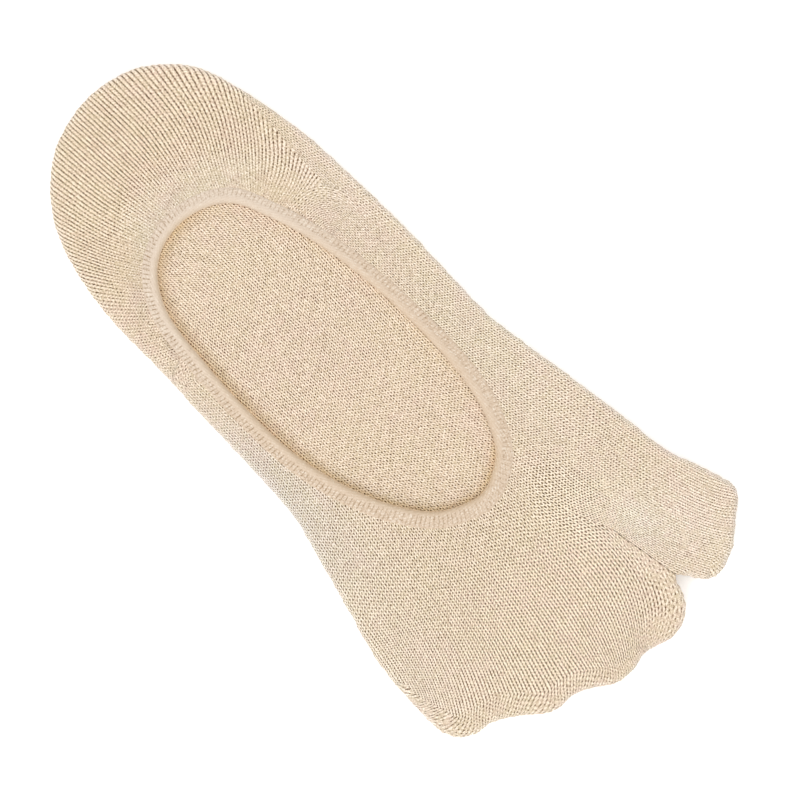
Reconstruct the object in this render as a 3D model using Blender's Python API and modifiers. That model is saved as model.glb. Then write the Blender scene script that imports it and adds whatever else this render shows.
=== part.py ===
"""A pair of split-toe (tabi) foot covers, laid flat one on the other, sole to sole.

Metres, +Z up.  +X runs from the heel to the toes, +Y is the big-toe side, and
z = 0 is the surface that the pair lies on.  The upper one is a right foot with
its mouth up; the lower one is its mirror image through the plane between the
two soles, with its mouth down.

Each foot cover is one knitted tube pressed flat: a sole panel and an upper
panel that run into each other round a rolled edge, with a pouch for four toes,
a separate big toe, and a mouth in the upper panel.  A knitted welt is joined
round the mouth.
"""
import math

import bmesh
import bpy
from mathutils import Vector
from mathutils.geometry import delaunay_2d_cdt

MM = 0.001

# ---------------------------------------------------------------- driving sizes
LENGTH = 205.0 * MM      # heel to the end of the second toe, laid flat
WALL = 1.4 * MM          # the knitted cloth
AIR = 1.0 * MM           # air left between the two panels of one foot cover
SEAM = 0.3 * MM          # between neighbouring pieces
WELT_WIDTH = 4.0 * MM
WELT_THICK = 1.9 * MM
WELT_ROUND = 0.55 * MM   # radius of the welt's edges
SLIT_GAP = 0.5 * MM      # between the big toe and the pouch, outside to outside
EDGE_STEPS = 2           # faces in a quarter of the rolled edge
MOUTH_STEPS = 3          # points from one row of the mouth to the next
FILL_STEP = 13.0 * MM    # spacing of the points inside a panel
LOFT_REACH = 13.0 * MM   # how far in from the edge the upper panel rises
WELT_LIFT = 0.25 * MM    # how far the welt's middle stands over the panel's

# Sections across the foot, heel to ball, in mm.
# name, distance from the heel, little-toe edge, big-toe edge, loft of the upper panel
SECTIONS = (
    ("heel end",      0.0,   2.0,  2.0, 0.2),
    ("heel 2.5",      2.5, -10.8, 14.4, 0.3),
    ("heel 6",        6.0, -16.9, 20.2, 0.4),
    ("heel 12",      12.0, -23.3, 26.1, 0.5),
    ("heel 20",      20.0, -28.4, 29.9, 0.6),
    ("heel back",    32.0, -32.2, 33.0, 0.6),
    ("gore",         46.0, -34.1, 35.3, 0.5),
    ("ankle",        62.0, -34.3, 36.2, 0.4),
    ("waist",        82.0, -35.1, 36.6, 0.3),
    ("waist front", 100.0, -35.6, 36.1, 0.3),
    ("instep",      114.0, -36.6, 35.9, 0.5),
    ("instep 125",  125.0, -39.4, 37.4, 0.8),
    ("ball back",   140.0, -43.5, 39.7, 1.0),
    ("ball",        156.0, -47.8, 41.9, 0.9),
    ("ball front",  170.0, -49.1, 43.8, 0.8),
    ("toe roots",   184.0, -46.0, 48.0, 0.5),
    ("toe ends",    205.0, -40.0, 40.0, 0.3),
)
LAST_SIDE = 170.0        # the sides follow the sections up to here

# Round ends of the toes, in mm and degrees, from +X towards +Y.
# name, centre from the heel, centre across, radius, first angle, last angle, points
POUCH_LOBES = (
    ("little toe",  178.0, -39.9,  9.3, -92.0,   8.0, 7),
    ("fourth toe",  188.0, -21.4,  9.4, -50.0,  12.0, 5),
    ("third toe",   191.6,  -3.7, 12.3, -46.0,  24.0, 6),
    ("second toe",  195.0,  11.3, 10.0, -20.0,  84.0, 7),
)
BIG_TOE_CORNERS = (
    ("inner corner", 195.9,  31.0,  5.5, -58.0,  14.0, 5),
    ("outer corner", 187.8,  43.3,  5.9,  28.0,  98.0, 5),
)
# The slit between the pouch and the big toe: name, from the heel, across.
SLIT = (
    ("notch",      194.2, 22.5),
    ("mid slit",   184.5, 21.0),
    ("crotch",     174.6, 19.3),
)
BIG_TOE_END = (("toe end", 199.3, 38.2),)
BIG_TOE_SIDE = (("big toe side", 180.0, 47.2),)

# Half-sections of the mouth, inside the welt, in mm.
# name, distance from the heel, little-toe edge, big-toe edge
MOUTH = (
    ("heel end",    40.0,  -4.8, -4.8),
    ("heel 41",     41.6, -12.2,  3.4),
    ("heel 46",     45.6, -17.6,  9.2),
    ("heel 54",     54.0, -22.3, 13.2),
    ("back",        68.0, -24.4, 17.3),
    ("middle",      86.0, -25.4, 19.8),
    ("front",      104.0, -24.6, 20.4),
    ("toe 120",    120.0, -20.6, 19.3),
    ("toe 132",    131.6, -15.2, 16.2),
    ("toe 139",    139.0,  -9.3, 11.8),
    ("toe 143",    142.8,  -2.4,  6.0),
    ("toe end",    143.8,   1.8,  1.8),
)

# Soft creases pressed into the upper panel: name, start (from heel, across),
# end (from heel, across), depth, in mm.
CREASES = (
    ("crotch tuck",   172.5, 19.0, 158.0, 13.0, 0.5),
    ("big toe dent",  170.0, 24.0, 156.0, 27.5, 0.3),
    ("heel dent",      24.0, 20.0,  34.0, 12.0, 0.3),
    ("ball hollow",   150.0, -33.0, 136.0, -26.0, 0.3),
)

# ---------------------------------------------------------------- colours
KNIT = dict(color=(0.80, 0.66, 0.46, 1.0), rough=0.95)
WELT = dict(color=(0.82, 0.68, 0.52, 1.0), rough=0.90)

FOLD_R = (AIR + WALL) / 2            # middle of the wall, round the rolled edge
SOCK = 2 * WALL + AIR                # thickness of one foot cover at its edge
LOWER_SOLE = SOCK - WALL / 2         # heights of the middle of the walls
UPPER_SOLE = SOCK + SEAM + WALL / 2


# ---------------------------------------------------------------- plan curves
def spline(points, steps):
    """Centripetal Catmull-Rom through open points, with the same number of steps between each two."""
    pts = [Vector(p) for p in points]
    pts = [pts[0] * 2 - pts[1]] + pts + [pts[-1] * 2 - pts[-2]]
    out = []
    for i in range(1, len(pts) - 2):
        p0, p1, p2, p3 = pts[i - 1:i + 3]
        t0 = 0.0
        t1 = t0 + max((p1 - p0).length, 1e-9) ** 0.5
        t2 = t1 + max((p2 - p1).length, 1e-9) ** 0.5
        t3 = t2 + max((p3 - p2).length, 1e-9) ** 0.5
        for k in range(steps):
            t = t1 + (t2 - t1) * k / steps
            a1 = p0 * ((t1 - t) / (t1 - t0)) + p1 * ((t - t0) / (t1 - t0))
            a2 = p1 * ((t2 - t) / (t2 - t1)) + p2 * ((t - t1) / (t2 - t1))
            a3 = p2 * ((t3 - t) / (t3 - t2)) + p3 * ((t - t2) / (t3 - t2))
            b1 = a1 * ((t2 - t) / (t2 - t0)) + a2 * ((t - t0) / (t2 - t0))
            b2 = a2 * ((t3 - t) / (t3 - t1)) + a3 * ((t - t1) / (t3 - t1))
            out.append(b1 * ((t2 - t) / (t2 - t1)) + b2 * ((t - t1) / (t2 - t1)))
    return out + [pts[-2].copy()]


def arc(cx, cy, r, first, last, n):
    angles = [math.radians(first + (last - first) * k / (n - 1)) for k in range(n)]
    return [Vector((cx + r * math.cos(a), cy + r * math.sin(a))) for a in angles]


def outline():
    """The edge of the flat foot cover in plan, anticlockwise from the heel, in mm from the heel."""
    rows = [r for r in SECTIONS if r[1] <= LAST_SIDE]
    little = [(r[1], r[2]) for r in rows]
    big = [(r[1], r[3]) for r in rows]
    lobes = [arc(*row[1:]) for row in POUCH_LOBES]
    first_lobe = lobes[0]
    # both sides are one smooth run through the heel
    run = spline([tuple(first_lobe[0])] + little[::-1] + big[1:]
                 + [BIG_TOE_SIDE[0][1:], tuple(arc(*BIG_TOE_CORNERS[1][1:])[-1])], 2)
    heel = min(range(len(run)), key=lambda i: run[i].x)
    little_run, big_run = run[:heel + 1][::-1], run[heel:]
    path = little_run[:-1]
    for i, lobe in enumerate(lobes):
        path += lobe
        if i + 1 < len(lobes):        # a soft valley, a little inside the chord
            a, b = lobe[-1], lobes[i + 1][0]
            chord = b - a
            inward = Vector((-chord.y, chord.x)).normalized()
            path.append((a + b) / 2 + inward * min(0.5, 0.12 * chord.length))
    half = SLIT_GAP / MM / 2
    slit = spline([row[1:] for row in SLIT], 3)
    ways = [(slit[min(i + 1, len(slit) - 1)] - slit[max(i - 1, 0)]).normalized()
            for i in range(len(slit))]
    side = [Vector((-w.y, w.x)) for w in ways]          # points to the pouch
    path += [p + n * half for p, n in zip(slit, side)]
    tip, way, n = slit[-1], ways[-1], side[-1]
    path += [tip + (n * math.cos(a) + way * math.sin(a)) * half
             for a in (math.pi * k / 4 for k in range(1, 4))]
    path += [p - n * half for p, n in list(zip(slit, side))[::-1]]
    inner, outer = (arc(*row[1:]) for row in BIG_TOE_CORNERS)
    path += inner + [Vector(BIG_TOE_END[0][1:])] + outer
    path += big_run[::-1][1:]
    out = [path[0]]
    for p in path[1:]:
        if (p - out[-1]).length > 0.15:
            out.append(p)
    if (out[0] - out[-1]).length < 0.15:
        out.pop()
    return out


def centred(points):
    """mm from the heel to metres about the middle of the outline."""
    return [Vector(((p[0] - MID[0]) * MM, (p[1] - MID[1]) * MM)) for p in points]


def inset(loop, d):
    """A closed anticlockwise loop moved inward by d (outward if negative), with short mitres."""
    out = []
    for i, p in enumerate(loop):
        a = (p - loop[i - 1]).normalized()
        b = (loop[(i + 1) % len(loop)] - p).normalized()
        na, nb = Vector((-a.y, a.x)), Vector((-b.y, b.x))
        n = (na + nb)
        n = n.normalized() if n.length > 1e-6 else na
        out.append(p + n * (d / max(n.dot(na), 0.6)))
    return out


def mouth_loop():
    little = [(r[1], r[2]) for r in MOUTH]
    big = [(r[1], r[3]) for r in MOUTH]
    ring = little + big[1:-1][::-1]
    closed = spline(ring[-2:] + ring + ring[:2], MOUTH_STEPS)
    return closed[2 * MOUTH_STEPS:(2 + len(ring)) * MOUTH_STEPS]


EDGE = outline()
MID = ((min(p.x for p in EDGE) + max(p.x for p in EDGE)) / 2,
       (min(p.y for p in EDGE) + max(p.y for p in EDGE)) / 2)
SCALE_X = LENGTH / MM / (max(p.x for p in EDGE) - min(p.x for p in EDGE))
EDGE = centred(EDGE)
EDGE = [Vector((p.x * SCALE_X, p.y)) for p in EDGE]
MOUTH_EDGE = centred(mouth_loop())


# ---------------------------------------------------------------- heights
def distance_to(loop, p):
    best = 1e9
    for i, a in enumerate(loop):
        b = loop[(i + 1) % len(loop)]
        ab = b - a
        t = max(0.0, min(1.0, (p - a).dot(ab) / max(ab.dot(ab), 1e-18)))
        best = min(best, (p - a - ab * t).length)
    return best


def smooth(t):
    t = max(0.0, min(1.0, t))
    return t * t * (3 - 2 * t)


def loft_at(p):
    """How far the upper panel stands over its flat height at a point in plan."""
    s = p.x / MM + MID[0]
    rows = SECTIONS
    loft = rows[-1][4]
    for a, b in zip(rows, rows[1:]):
        if a[1] <= s < b[1]:
            loft = a[4] + (b[4] - a[4]) * smooth((s - a[1]) / (b[1] - a[1]))
            break
    if s < rows[0][1]:
        loft = rows[0][4]
    loft *= smooth((distance_to(MIDDLE_EDGE, p) - FOLD_R) / LOFT_REACH)
    for name, s0, y0, s1, y1, depth in CREASES:
        a, b = centred([(s0, y0), (s1, y1)])
        ab = b - a
        t = max(0.0, min(1.0, (p - a).dot(ab) / ab.dot(ab)))
        away = (p - a - ab * t).length
        loft -= depth * smooth(1 - away / (4 * MM)) * (1 - 0.7 * t)
    return loft * MM


# ---------------------------------------------------------------- panels
def inside(loop, p):
    odd = False
    for i, a in enumerate(loop):
        b = loop[(i + 1) % len(loop)]
        if (a.y > p.y) != (b.y > p.y) and p.x < (b.x - a.x) * (p.y - a.y) / (b.y - a.y) + a.x:
            odd = not odd
    return odd


def fill(edge, hole, step, extra=()):
    """Points and triangles of a panel inside edge and outside hole; edge comes first, then hole."""
    points = list(edge) + list(hole)
    n, m = len(edge), len(hole)
    links = [(i, (i + 1) % n) for i in range(n)] + [(n + i, n + (i + 1) % m) for i in range(m)]
    low = Vector((min(p.x for p in edge), min(p.y for p in edge)))
    high = Vector((max(p.x for p in edge), max(p.y for p in edge)))
    taken = list(extra)
    row, y = 0, low.y + step / 2
    while y < high.y:
        x = low.x + step / 2 + (row % 2) * step / 2
        while x < high.x:
            taken.append(Vector((x, y)))
            x += step
        y += step * 0.866
        row += 1
    for p in taken:
        clear = 0.42 * step if p not in extra else 0.0
        if (inside(edge, p) and distance_to(edge, p) > max(clear, 0.0015)
                and not (hole and (inside(hole, p) or distance_to(hole, p) < max(clear, 0.0015)))
                and all((p - q).length > (clear or 1e-4) for q in points[n + m:])):
            points.append(p)
    verts, _, faces, origins, _, _ = delaunay_2d_cdt(points, links, [], 0, 1e-7)
    keep = []
    for f in faces:
        c = sum((verts[i] for i in f), Vector((0, 0))) / len(f)
        if inside(edge, c) and not (hole and inside(hole, c)):
            keep.append([origins[i][0] for i in f])
    return points, keep


def foot_cover(name, sole_z, way, lofted, material, collection):
    """One foot cover as the middle surface of its wall: way is +1 with the mouth up, -1 with it down."""
    bm = bmesh.new()
    centre_z = sole_z + way * FOLD_R
    rings = {}
    for side in (-1, 1):                       # sole, then upper
        for k in range(EDGE_STEPS + 1):
            if k == 0 and side == 1:
                rings[side, k] = rings[-1, 0]
                continue
            a = math.pi / 2 * k / EDGE_STEPS
            loop = inset(MIDDLE_EDGE, FOLD_R * (1 - math.cos(a)))
            z = centre_z + way * side * FOLD_R * math.sin(a)
            rings[side, k] = [bm.verts.new((p.x, p.y, z)) for p in loop]
        for k in range(EDGE_STEPS):
            lo, hi = rings[side, k], rings[side, k + 1]
            for i in range(len(lo)):
                j = (i + 1) % len(lo)
                quad = (lo[i], lo[j], hi[j], hi[i])
                bm.faces.new(quad if side * way > 0 else quad[::-1])
    panel_edge = inset(MIDDLE_EDGE, FOLD_R)
    hole = inset(MOUTH_EDGE, -(WELT_WIDTH + SEAM))
    for side in (-1, 1):
        creases = []
        if side == 1 and lofted:
            for _, s0, y0, s1, y1, _ in CREASES:
                creases += [Vector(c) for c in centred(
                    [(s0 + (s1 - s0) * t, y0 + (y1 - y0) * t) for t in (0.1, 0.5, 0.9)])]
        points, faces = fill(panel_edge, hole if side == 1 else [], FILL_STEP, creases)
        flat_z = centre_z + way * side * FOLD_R
        n = len(panel_edge)
        verts = list(rings[side, EDGE_STEPS])
        for p in points[n:]:
            up = loft_at(p) if side == 1 and lofted else 0.0
            verts.append(bm.verts.new((p.x, p.y, flat_z + up)))
        for f in faces:
            face = [verts[i] for i in f]
            bm.faces.new(face if side * way > 0 else face[::-1])
    bm.normal_update()
    mesh = bpy.data.meshes.new(name)
    bm.to_mesh(mesh)
    bm.free()
    ob = bpy.data.objects.new(name, mesh)
    collection.objects.link(ob)
    mesh.materials.append(material)
    solid = ob.modifiers.new("cloth", "SOLIDIFY")
    solid.thickness = WALL
    solid.offset = 0.0
    solid.use_even_offset = True
    solid.use_quality_normals = True
    for poly in mesh.polygons:
        poly.use_smooth = True
    return ob


def welt(name, panel_z, way, lofted, material, collection):
    """The flat knitted band round the mouth, as a strip of its width with thickness and rounded edges."""
    inner = MOUTH_EDGE
    outer = inset(MOUTH_EDGE, -WELT_WIDTH)
    bm = bmesh.new()
    loops = []
    for loop in (inner, outer):
        ring = []
        for p, q in zip(loop, inner):
            up = loft_at(q) + WELT_LIFT if lofted else 0.0
            ring.append(bm.verts.new((p.x, p.y, panel_z + up)))
        loops.append(ring)
    n = len(inner)
    for i in range(n):
        j = (i + 1) % n
        quad = (loops[1][i], loops[1][j], loops[0][j], loops[0][i])
        bm.faces.new(quad)
    mesh = bpy.data.meshes.new(name)
    bm.to_mesh(mesh)
    bm.free()
    ob = bpy.data.objects.new(name, mesh)
    collection.objects.link(ob)
    mesh.materials.append(material)
    solid = ob.modifiers.new("thickness", "SOLIDIFY")
    solid.thickness = WELT_THICK
    solid.offset = 0.0
    bevel = ob.modifiers.new("rounded", "BEVEL")
    bevel.width = WELT_ROUND
    bevel.segments = 1
    bevel.limit_method = "ANGLE"
    bevel.angle_limit = math.radians(50)
    for poly in mesh.polygons:
        poly.use_smooth = True
    return ob


def paint(name, color, rough):
    material = bpy.data.materials.new(name)
    material.use_nodes = True
    shader = material.node_tree.nodes["Principled BSDF"]
    shader.inputs["Base Color"].default_value = color
    shader.inputs["Roughness"].default_value = rough
    shader.inputs["Metallic"].default_value = 0.0
    return material


def main():
    for ob in list(bpy.data.objects):
        bpy.data.objects.remove(ob, do_unlink=True)
    collection = bpy.data.collections.new("tabi_socks")
    bpy.context.scene.collection.children.link(collection)
    foot_cover("upper_sock", UPPER_SOLE, 1, True, paint("upper_knit", **KNIT), collection)
    welt("upper_rim", UPPER_SOLE + 2 * FOLD_R, 1, True, paint("upper_welt", **WELT), collection)
    foot_cover("lower_sock", LOWER_SOLE, -1, False, paint("lower_knit", **KNIT), collection)
    welt("lower_rim", WELT_THICK / 2, -1, False, paint("lower_welt", **WELT), collection)


MIDDLE_EDGE = inset(EDGE, WALL / 2)
main()
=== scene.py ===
"""Looks of the pair of split-toe (tabi) foot covers.

Each foot cover is one closed knitted shell whose points lie on the knit itself:
columns of stitches (wales) and rows (courses) are laid out from short tables of
guide wales, so the ribs, the stitches, the gore line and the turned-over toe
band are in the mesh.  The finer stitch detail is in the material, which reads
the same wale and course numbers from a UV map.

Working units are mm: s from the heel along the foot, y across it (the big-toe
side is positive).  Everything is turned into metres in the CAD frame at the end.
"""
import math
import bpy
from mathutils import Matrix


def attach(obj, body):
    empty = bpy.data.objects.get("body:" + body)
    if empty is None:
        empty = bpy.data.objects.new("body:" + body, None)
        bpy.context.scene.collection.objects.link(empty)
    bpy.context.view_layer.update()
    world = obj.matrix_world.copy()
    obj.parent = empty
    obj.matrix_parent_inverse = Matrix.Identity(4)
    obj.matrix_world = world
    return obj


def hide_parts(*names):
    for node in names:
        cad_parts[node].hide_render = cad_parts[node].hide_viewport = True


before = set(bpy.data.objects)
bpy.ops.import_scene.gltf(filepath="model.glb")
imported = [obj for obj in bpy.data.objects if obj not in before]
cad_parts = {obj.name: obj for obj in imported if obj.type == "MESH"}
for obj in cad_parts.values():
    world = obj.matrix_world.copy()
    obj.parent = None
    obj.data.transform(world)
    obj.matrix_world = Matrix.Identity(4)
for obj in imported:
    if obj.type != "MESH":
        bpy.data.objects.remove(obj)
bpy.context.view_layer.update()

import bpy
import numpy as np
from mathutils import Vector
from mathutils.geometry import delaunay_2d_cdt
from mathutils.kdtree import KDTree

# ------------------------------------------------------------ sizes, as in the CAD, in mm
LENGTH = 205.0
WALL = 1.4
AIR = 1.0
SEAM = 0.3
WELT_WIDTH = 4.0
WELT_THICK = 1.9
WELT_LIFT = 0.25
SOLE_LIFT = 0.75                         # the sole lies close under the mouth
SLIT_GAP = 0.5
LOFT_REACH = 13.0
SOCK = 2 * WALL + AIR
OUT_R = SOCK / 2                       # outer radius of the rolled edge
IN_R = AIR / 2                         # inner radius of the rolled edge
LOWER_MID = SOCK / 2                   # height of the middle of each foot cover
UPPER_MID = SOCK + SEAM + SOCK / 2

# name, distance from the heel, little-toe edge, big-toe edge, loft of the upper panel
SECTIONS = (
    ("heel end",      0.0,   2.0,  2.0, 0.2),
    ("heel 2.5",      2.5, -10.8, 14.4, 0.3),
    ("heel 6",        6.0, -16.9, 20.2, 0.4),
    ("heel 12",      12.0, -23.3, 26.1, 0.5),
    ("heel 20",      20.0, -28.4, 29.9, 0.6),
    ("heel back",    32.0, -32.2, 33.0, 0.6),
    ("gore",         46.0, -34.1, 35.3, 0.5),
    ("ankle",        62.0, -34.3, 36.2, 0.4),
    ("waist",        82.0, -35.1, 36.6, 0.3),
    ("waist front", 100.0, -35.6, 36.1, 0.3),
    ("instep",      114.0, -36.6, 35.9, 0.5),
    ("instep 125",  125.0, -39.4, 37.4, 0.8),
    ("ball back",   140.0, -43.5, 39.7, 1.0),
    ("ball",        156.0, -47.8, 41.9, 0.9),
    ("ball front",  170.0, -49.1, 43.8, 0.8),
    ("toe roots",   184.0, -46.0, 48.0, 0.5),
    ("toe ends",    205.0, -40.0, 40.0, 0.3),
)
LAST_SIDE = 170.0
# name, centre from the heel, centre across, radius, first angle, last angle, points
POUCH_LOBES = (
    ("little toe",  178.0, -39.9,  9.3, -92.0,   8.0, 7),
    ("fourth toe",  188.0, -21.4,  9.4, -50.0,  12.0, 5),
    ("third toe",   191.6,  -3.7, 12.3, -46.0,  24.0, 6),
    ("second toe",  195.0,  11.3, 10.0, -20.0,  84.0, 7),
)
BIG_TOE_CORNERS = (
    ("inner corner", 196.2,  30.6,  5.5, -58.0,  14.0, 5),
    ("outer corner", 187.8,  43.3,  5.9,  28.0,  98.0, 5),
)
SLIT = (
    ("notch",      194.2, 22.5),
    ("mid slit",   184.5, 21.0),
    ("crotch",     174.6, 19.3),
)
BIG_TOE_END = (("toe end", 199.5, 38.2),)
BIG_TOE_SIDE = (("big toe side", 180.0, 47.2),)
# name, distance from the heel, little-toe edge, big-toe edge, inside the welt
MOUTH = (
    ("heel end",    40.0,  -4.8, -4.8),
    ("heel 41",     41.6, -12.2,  3.4),
    ("heel 46",     45.6, -17.6,  9.2),
    ("heel 54",     54.0, -22.3, 13.2),
    ("back",        68.0, -24.4, 17.3),
    ("middle",      86.0, -25.4, 19.8),
    ("front",      104.0, -24.6, 20.4),
    ("toe 120",    120.0, -20.6, 19.3),
    ("toe 132",    131.6, -15.2, 16.2),
    ("toe 139",    139.0,  -9.3, 11.8),
    ("toe 143",    142.8,  -2.4,  6.0),
    ("toe end",    143.8,   1.8,  1.8),
)
# name, start (from heel, across), end (from heel, across), depth, half width
CREASES = (
    ("crotch tuck",   172.5, 19.0, 158.0, 13.0, 0.5, 4.0),
    ("big toe dent",  170.0, 24.0, 156.0, 27.5, 0.3, 4.0),
    ("heel dent",      24.0, 20.0,  34.0, 12.0, 0.3, 4.0),
    ("ball hollow",   150.0, -33.0, 136.0, -26.0, 0.3, 4.0),
    ("crotch fold",   174.0, 18.9, 167.5, 15.8, 0.35, 1.1),
    ("ball ripple",   166.0, -8.0, 152.0, -14.0, 0.22, 6.0),
    ("instep ripple", 150.0, 30.0, 138.0, 27.0, 0.2, 5.0),
    ("heel ripple",    12.0, -8.0, 26.0, -14.0, 0.2, 6.0),
)

# ------------------------------------------------------------ the knit
# Guide ribs of the heel pocket: rib number, start at the outline, middle, end at the welt.
HEEL_RIBS = (
    (-60.0, 57.5, -35.0, 60.0, -31.0, 61.5, -28.0),
    (-48.0, 46.0, -34.1, 49.4, -30.5, 53.4, -26.0),
    (-36.0, 30.0, -31.7, 38.5, -26.5, 45.7, -21.1),
    (-24.0, 15.0, -25.5, 29.0, -21.5, 40.2, -16.1),
    (-12.0,  4.5, -14.0, 22.0, -12.2, 37.0,  -9.1),
    (0.0,    0.3,  -2.0, 17.8,  -1.3, 34.3,  -1.5),
    (11.0,   1.0,  10.0, 18.5,   9.5, 36.4,   5.3),
    (21.0,   8.0,  22.5, 25.0,  18.6, 39.7,  11.2),
    (29.0,  21.0,  30.0, 32.0,  24.0, 44.2,  14.6),
    (35.0,  31.0,  31.3, 40.5,  24.2, 48.0,  16.5),
    (41.0,  43.0,  30.2, 48.2,  24.6, 51.4,  17.8),
    (47.0,  52.0,  29.8, 54.6,  23.5, 55.4,  18.2),
    (52.0,  57.5,  30.0, 57.6,  24.0, 57.4,  18.2),
)
# Guide wales of the instep and toes: wale number, then its course past the mouth.
POUCH_WALES = (
    (-95.0, (20, -46), (75, -46.5), (112, -46.5), (144, -52.6), (160, -56.5), (176, -64), (192, -78), (204, -92)),
    (-81.0, (20, -37), (75, -36.4), (112, -37.2), (144, -43), (160, -45.7), (170, -48.6), (180, -55), (192, -68)),
    (-67.0, (20, -28), (75, -28.3), (112, -29.0), (144, -33), (160, -35.5), (176, -41.7), (190, -52), (202, -64)),
    (-56.0, (20, -21), (75, -20.8), (112, -21.5), (144, -25), (160, -27.0), (176, -31.7), (192, -40.2), (206, -50)),
    (-44.0, (20, -13), (75, -13.5), (112, -14.2), (144, -16.7), (160, -18.2), (176, -21.6), (192, -27.1), (208, -35)),
    (-32.0, (20, -6), (75, -6.5), (112, -8.0), (144, -9), (160, -8.9), (176, -11.1), (192, -14.7), (210, -18)),
    (-20.0, (20, 1), (75, 0.0), (112, -1.2), (144, -1), (160, 0.0), (176, -1.0), (190, -4.1), (208, -10)),
    (-9.0, (20, 7), (75, 6.0), (112, 4.6), (144, 6.6), (160, 8.0), (176, 8.4), (188, 6.0), (199, 0.5), (206, -7)),
    (0.0, (20, 12), (75, 11.5), (112, 10.2), (144, 12.2), (160, 13.8), (176, 15.8), (188, 14.0), (198, 8.0), (204, -1)),
    (8.0, (20, 16.3), (75, 16), (112, 15.6), (144, 17.7), (160, 19.0), (176, 20.8), (188, 20.9), (199, 16.6), (205.5, 5)),
    (13.0, (20, 18.8), (75, 18.6), (112, 18.4), (144, 20.9), (160, 22.4), (176, 24.2), (189, 25.0), (203, 20.5), (210.5, 7)),
)
BIG_TOE_WALES = (
    (-9.0, (20, 7), (75, 6.0), (112, 4.6), (144, 6.6), (160, 8.4), (176, 14.4), (190, 17.4), (204, 22)),
    (0.0, (20, 12), (75, 11.5), (112, 10.2), (144, 12.2), (160, 13.8), (176, 19.8), (190, 22.6), (204, 28)),
    (7.0, (20, 16), (75, 15.5), (112, 15.0), (144, 17.1), (160, 18.3), (176, 22.8), (190, 26.6), (203, 33)),
    (16.0, (20, 20), (75, 20.0), (112, 20.0), (144, 22.7), (160, 24.0), (176, 27.6), (190, 32.3), (202, 39)),
    (25.0, (20, 23), (75, 24.0), (112, 25.0), (144, 28.2), (160, 30.0), (176, 33.6), (189, 38.2), (200, 45)),
    (33.0, (20, 25), (75, 27.8), (112, 29.4), (144, 33.9), (160, 36.0), (176, 39.6), (187, 43.6), (197, 50)),
    (41.0, (20, 27), (75, 31.6), (112, 33.9), (144, 39.6), (160, 42.0), (174, 44.8), (184, 48.4), (194, 55)),
    (49.0, (20, 29), (75, 36.6), (112, 39.0), (144, 45.0), (160, 47.5), (172, 50.0), (182, 54.0), (192, 60)),
    (58.0, (20, 35), (75, 43.0), (112, 45.5), (144, 51.5), (160, 54.0), (171, 56.5), (180, 60.5), (190, 67)),
)
# The line between the pouch's wales and the big toe's: from the heel, across.
SPLIT = ((20, 12), (75, 11.5), (112, 10.2), (144, 12.2), (156, 13.3), (164, 15.0), (170, 17.4), (174.6, 19.3),
         (184.5, 21.0), (194.2, 22.5), (212, 25.5))
HEEL_COURSE = 0.77
# rows of the front: from the heel, length of a row there
FRONT_COURSES = ((0, 0.95), (110, 1.0), (165, 1.04), (178, 0.93), (205, 0.88))
# sole seen through the mouth: from the heel, width of a wale, length of a row
SOLE_GRAIN = ((30, 0.74, 0.76), (52, 0.72, 0.80), (66, 0.70, 0.85), (90, 0.65, 0.95), (120, 0.625, 1.02), (150, 0.66, 1.04))
# Where the heel pocket is joined to the instep, big-toe side and little-toe side.
GORE = ((27.5, 31.6), (36, 30.9), (45, 30.4), (52, 29.9), (58.3, 29.4), (56.9, 26.6), (56.2, 22.6), (57.0, 17.0))
SIDE_JOIN = ((62.0, -34.3), (63.3, -31.6), (65.3, -28.4))
# Wales that turn from the side strip down to the welt: pivot, last radius, how far longer along the foot, first wale
TURNS = (
    ("big-toe side", 70.0, 21.5, 1, 11.3, 1.25),
    ("little-toe side", 72.0, -28.2, -1, 6.4, 1.1),
)

# How the knit looks, region by region: depth of the gaps between ribs and of the stitches (mm), contrast of the
# ribs, contrast of the staggered stitches, which way the single strokes lean (0 to 1), contrast of the strokes.
LOOK = {
    "heel":      (0.19, 0.04, 0.98, 0.46, 0.3, 0.28),
    "welted":    (0.10, 0.06, 0.42, 0.30, 0.4, 0.24),    # heel, near the welt
    "side":      (0.10, 0.10, 0.62, 0.80, 0.5, 0.54),
    "little side": (0.10, 0.10, 0.54, 0.70, 0.5, 0.48),  # the same on the little-toe side, softer
    "arc":       (0.15, 0.10, 0.70, 0.50, 0.5, 0.30),    # wales that turn down to the welt
    "instep":    (0.12, 0.12, 0.76, 0.96, 1.0, 0.58),    # little-toe side
    "big side":  (0.12, 0.12, 0.68, 0.95, 0.0, 0.56),    # big-toe side of the instep
    "ball":      (0.15, 0.12, 0.90, 0.94, 1.0, 0.58),
    "pouch":     (0.19, 0.10, 1.10, 0.64, 1.0, 0.34),
    "toe":       (0.13, 0.07, 0.82, 0.50, 0.2, 0.38),
    "crotch":    (0.06, 0.07, 0.80, 0.66, 0.5, 0.54),    # smooth patch over the root of the big toe
    "gathered":  (0.13, 0.12, 1.05, 1.75, 0.0, 0.76),    # open stitches just behind the slit
    "band":      (0.22, 0.12, 0.60, 0.60, 0.5, 0.50),    # turned-over edge round the toes
    "slit":      (0.08, 0.07, 0.50, 0.50, 1.0, 0.40),    # second toe, along the slit
    "corner":    (0.10, 0.09, 0.46, 0.52, 0.5, 0.50),    # tip of the second toe
    "sole heel": (0.12, 0.10, 0.80, 0.52, 0.0, 0.56),
    "sole":      (0.12, 0.11, 0.91, 0.76, 1.0, 0.54),
    "sole toe":  (0.12, 0.12, 0.66, 0.88, 0.0, 0.58),
}
TOP_RINGS = 4
LOW_RINGS = 2


# ------------------------------------------------------------ plane geometry
def step01(t):
    t = np.clip(t, 0.0, 1.0)
    return t * t * (3 - 2 * t)


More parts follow.
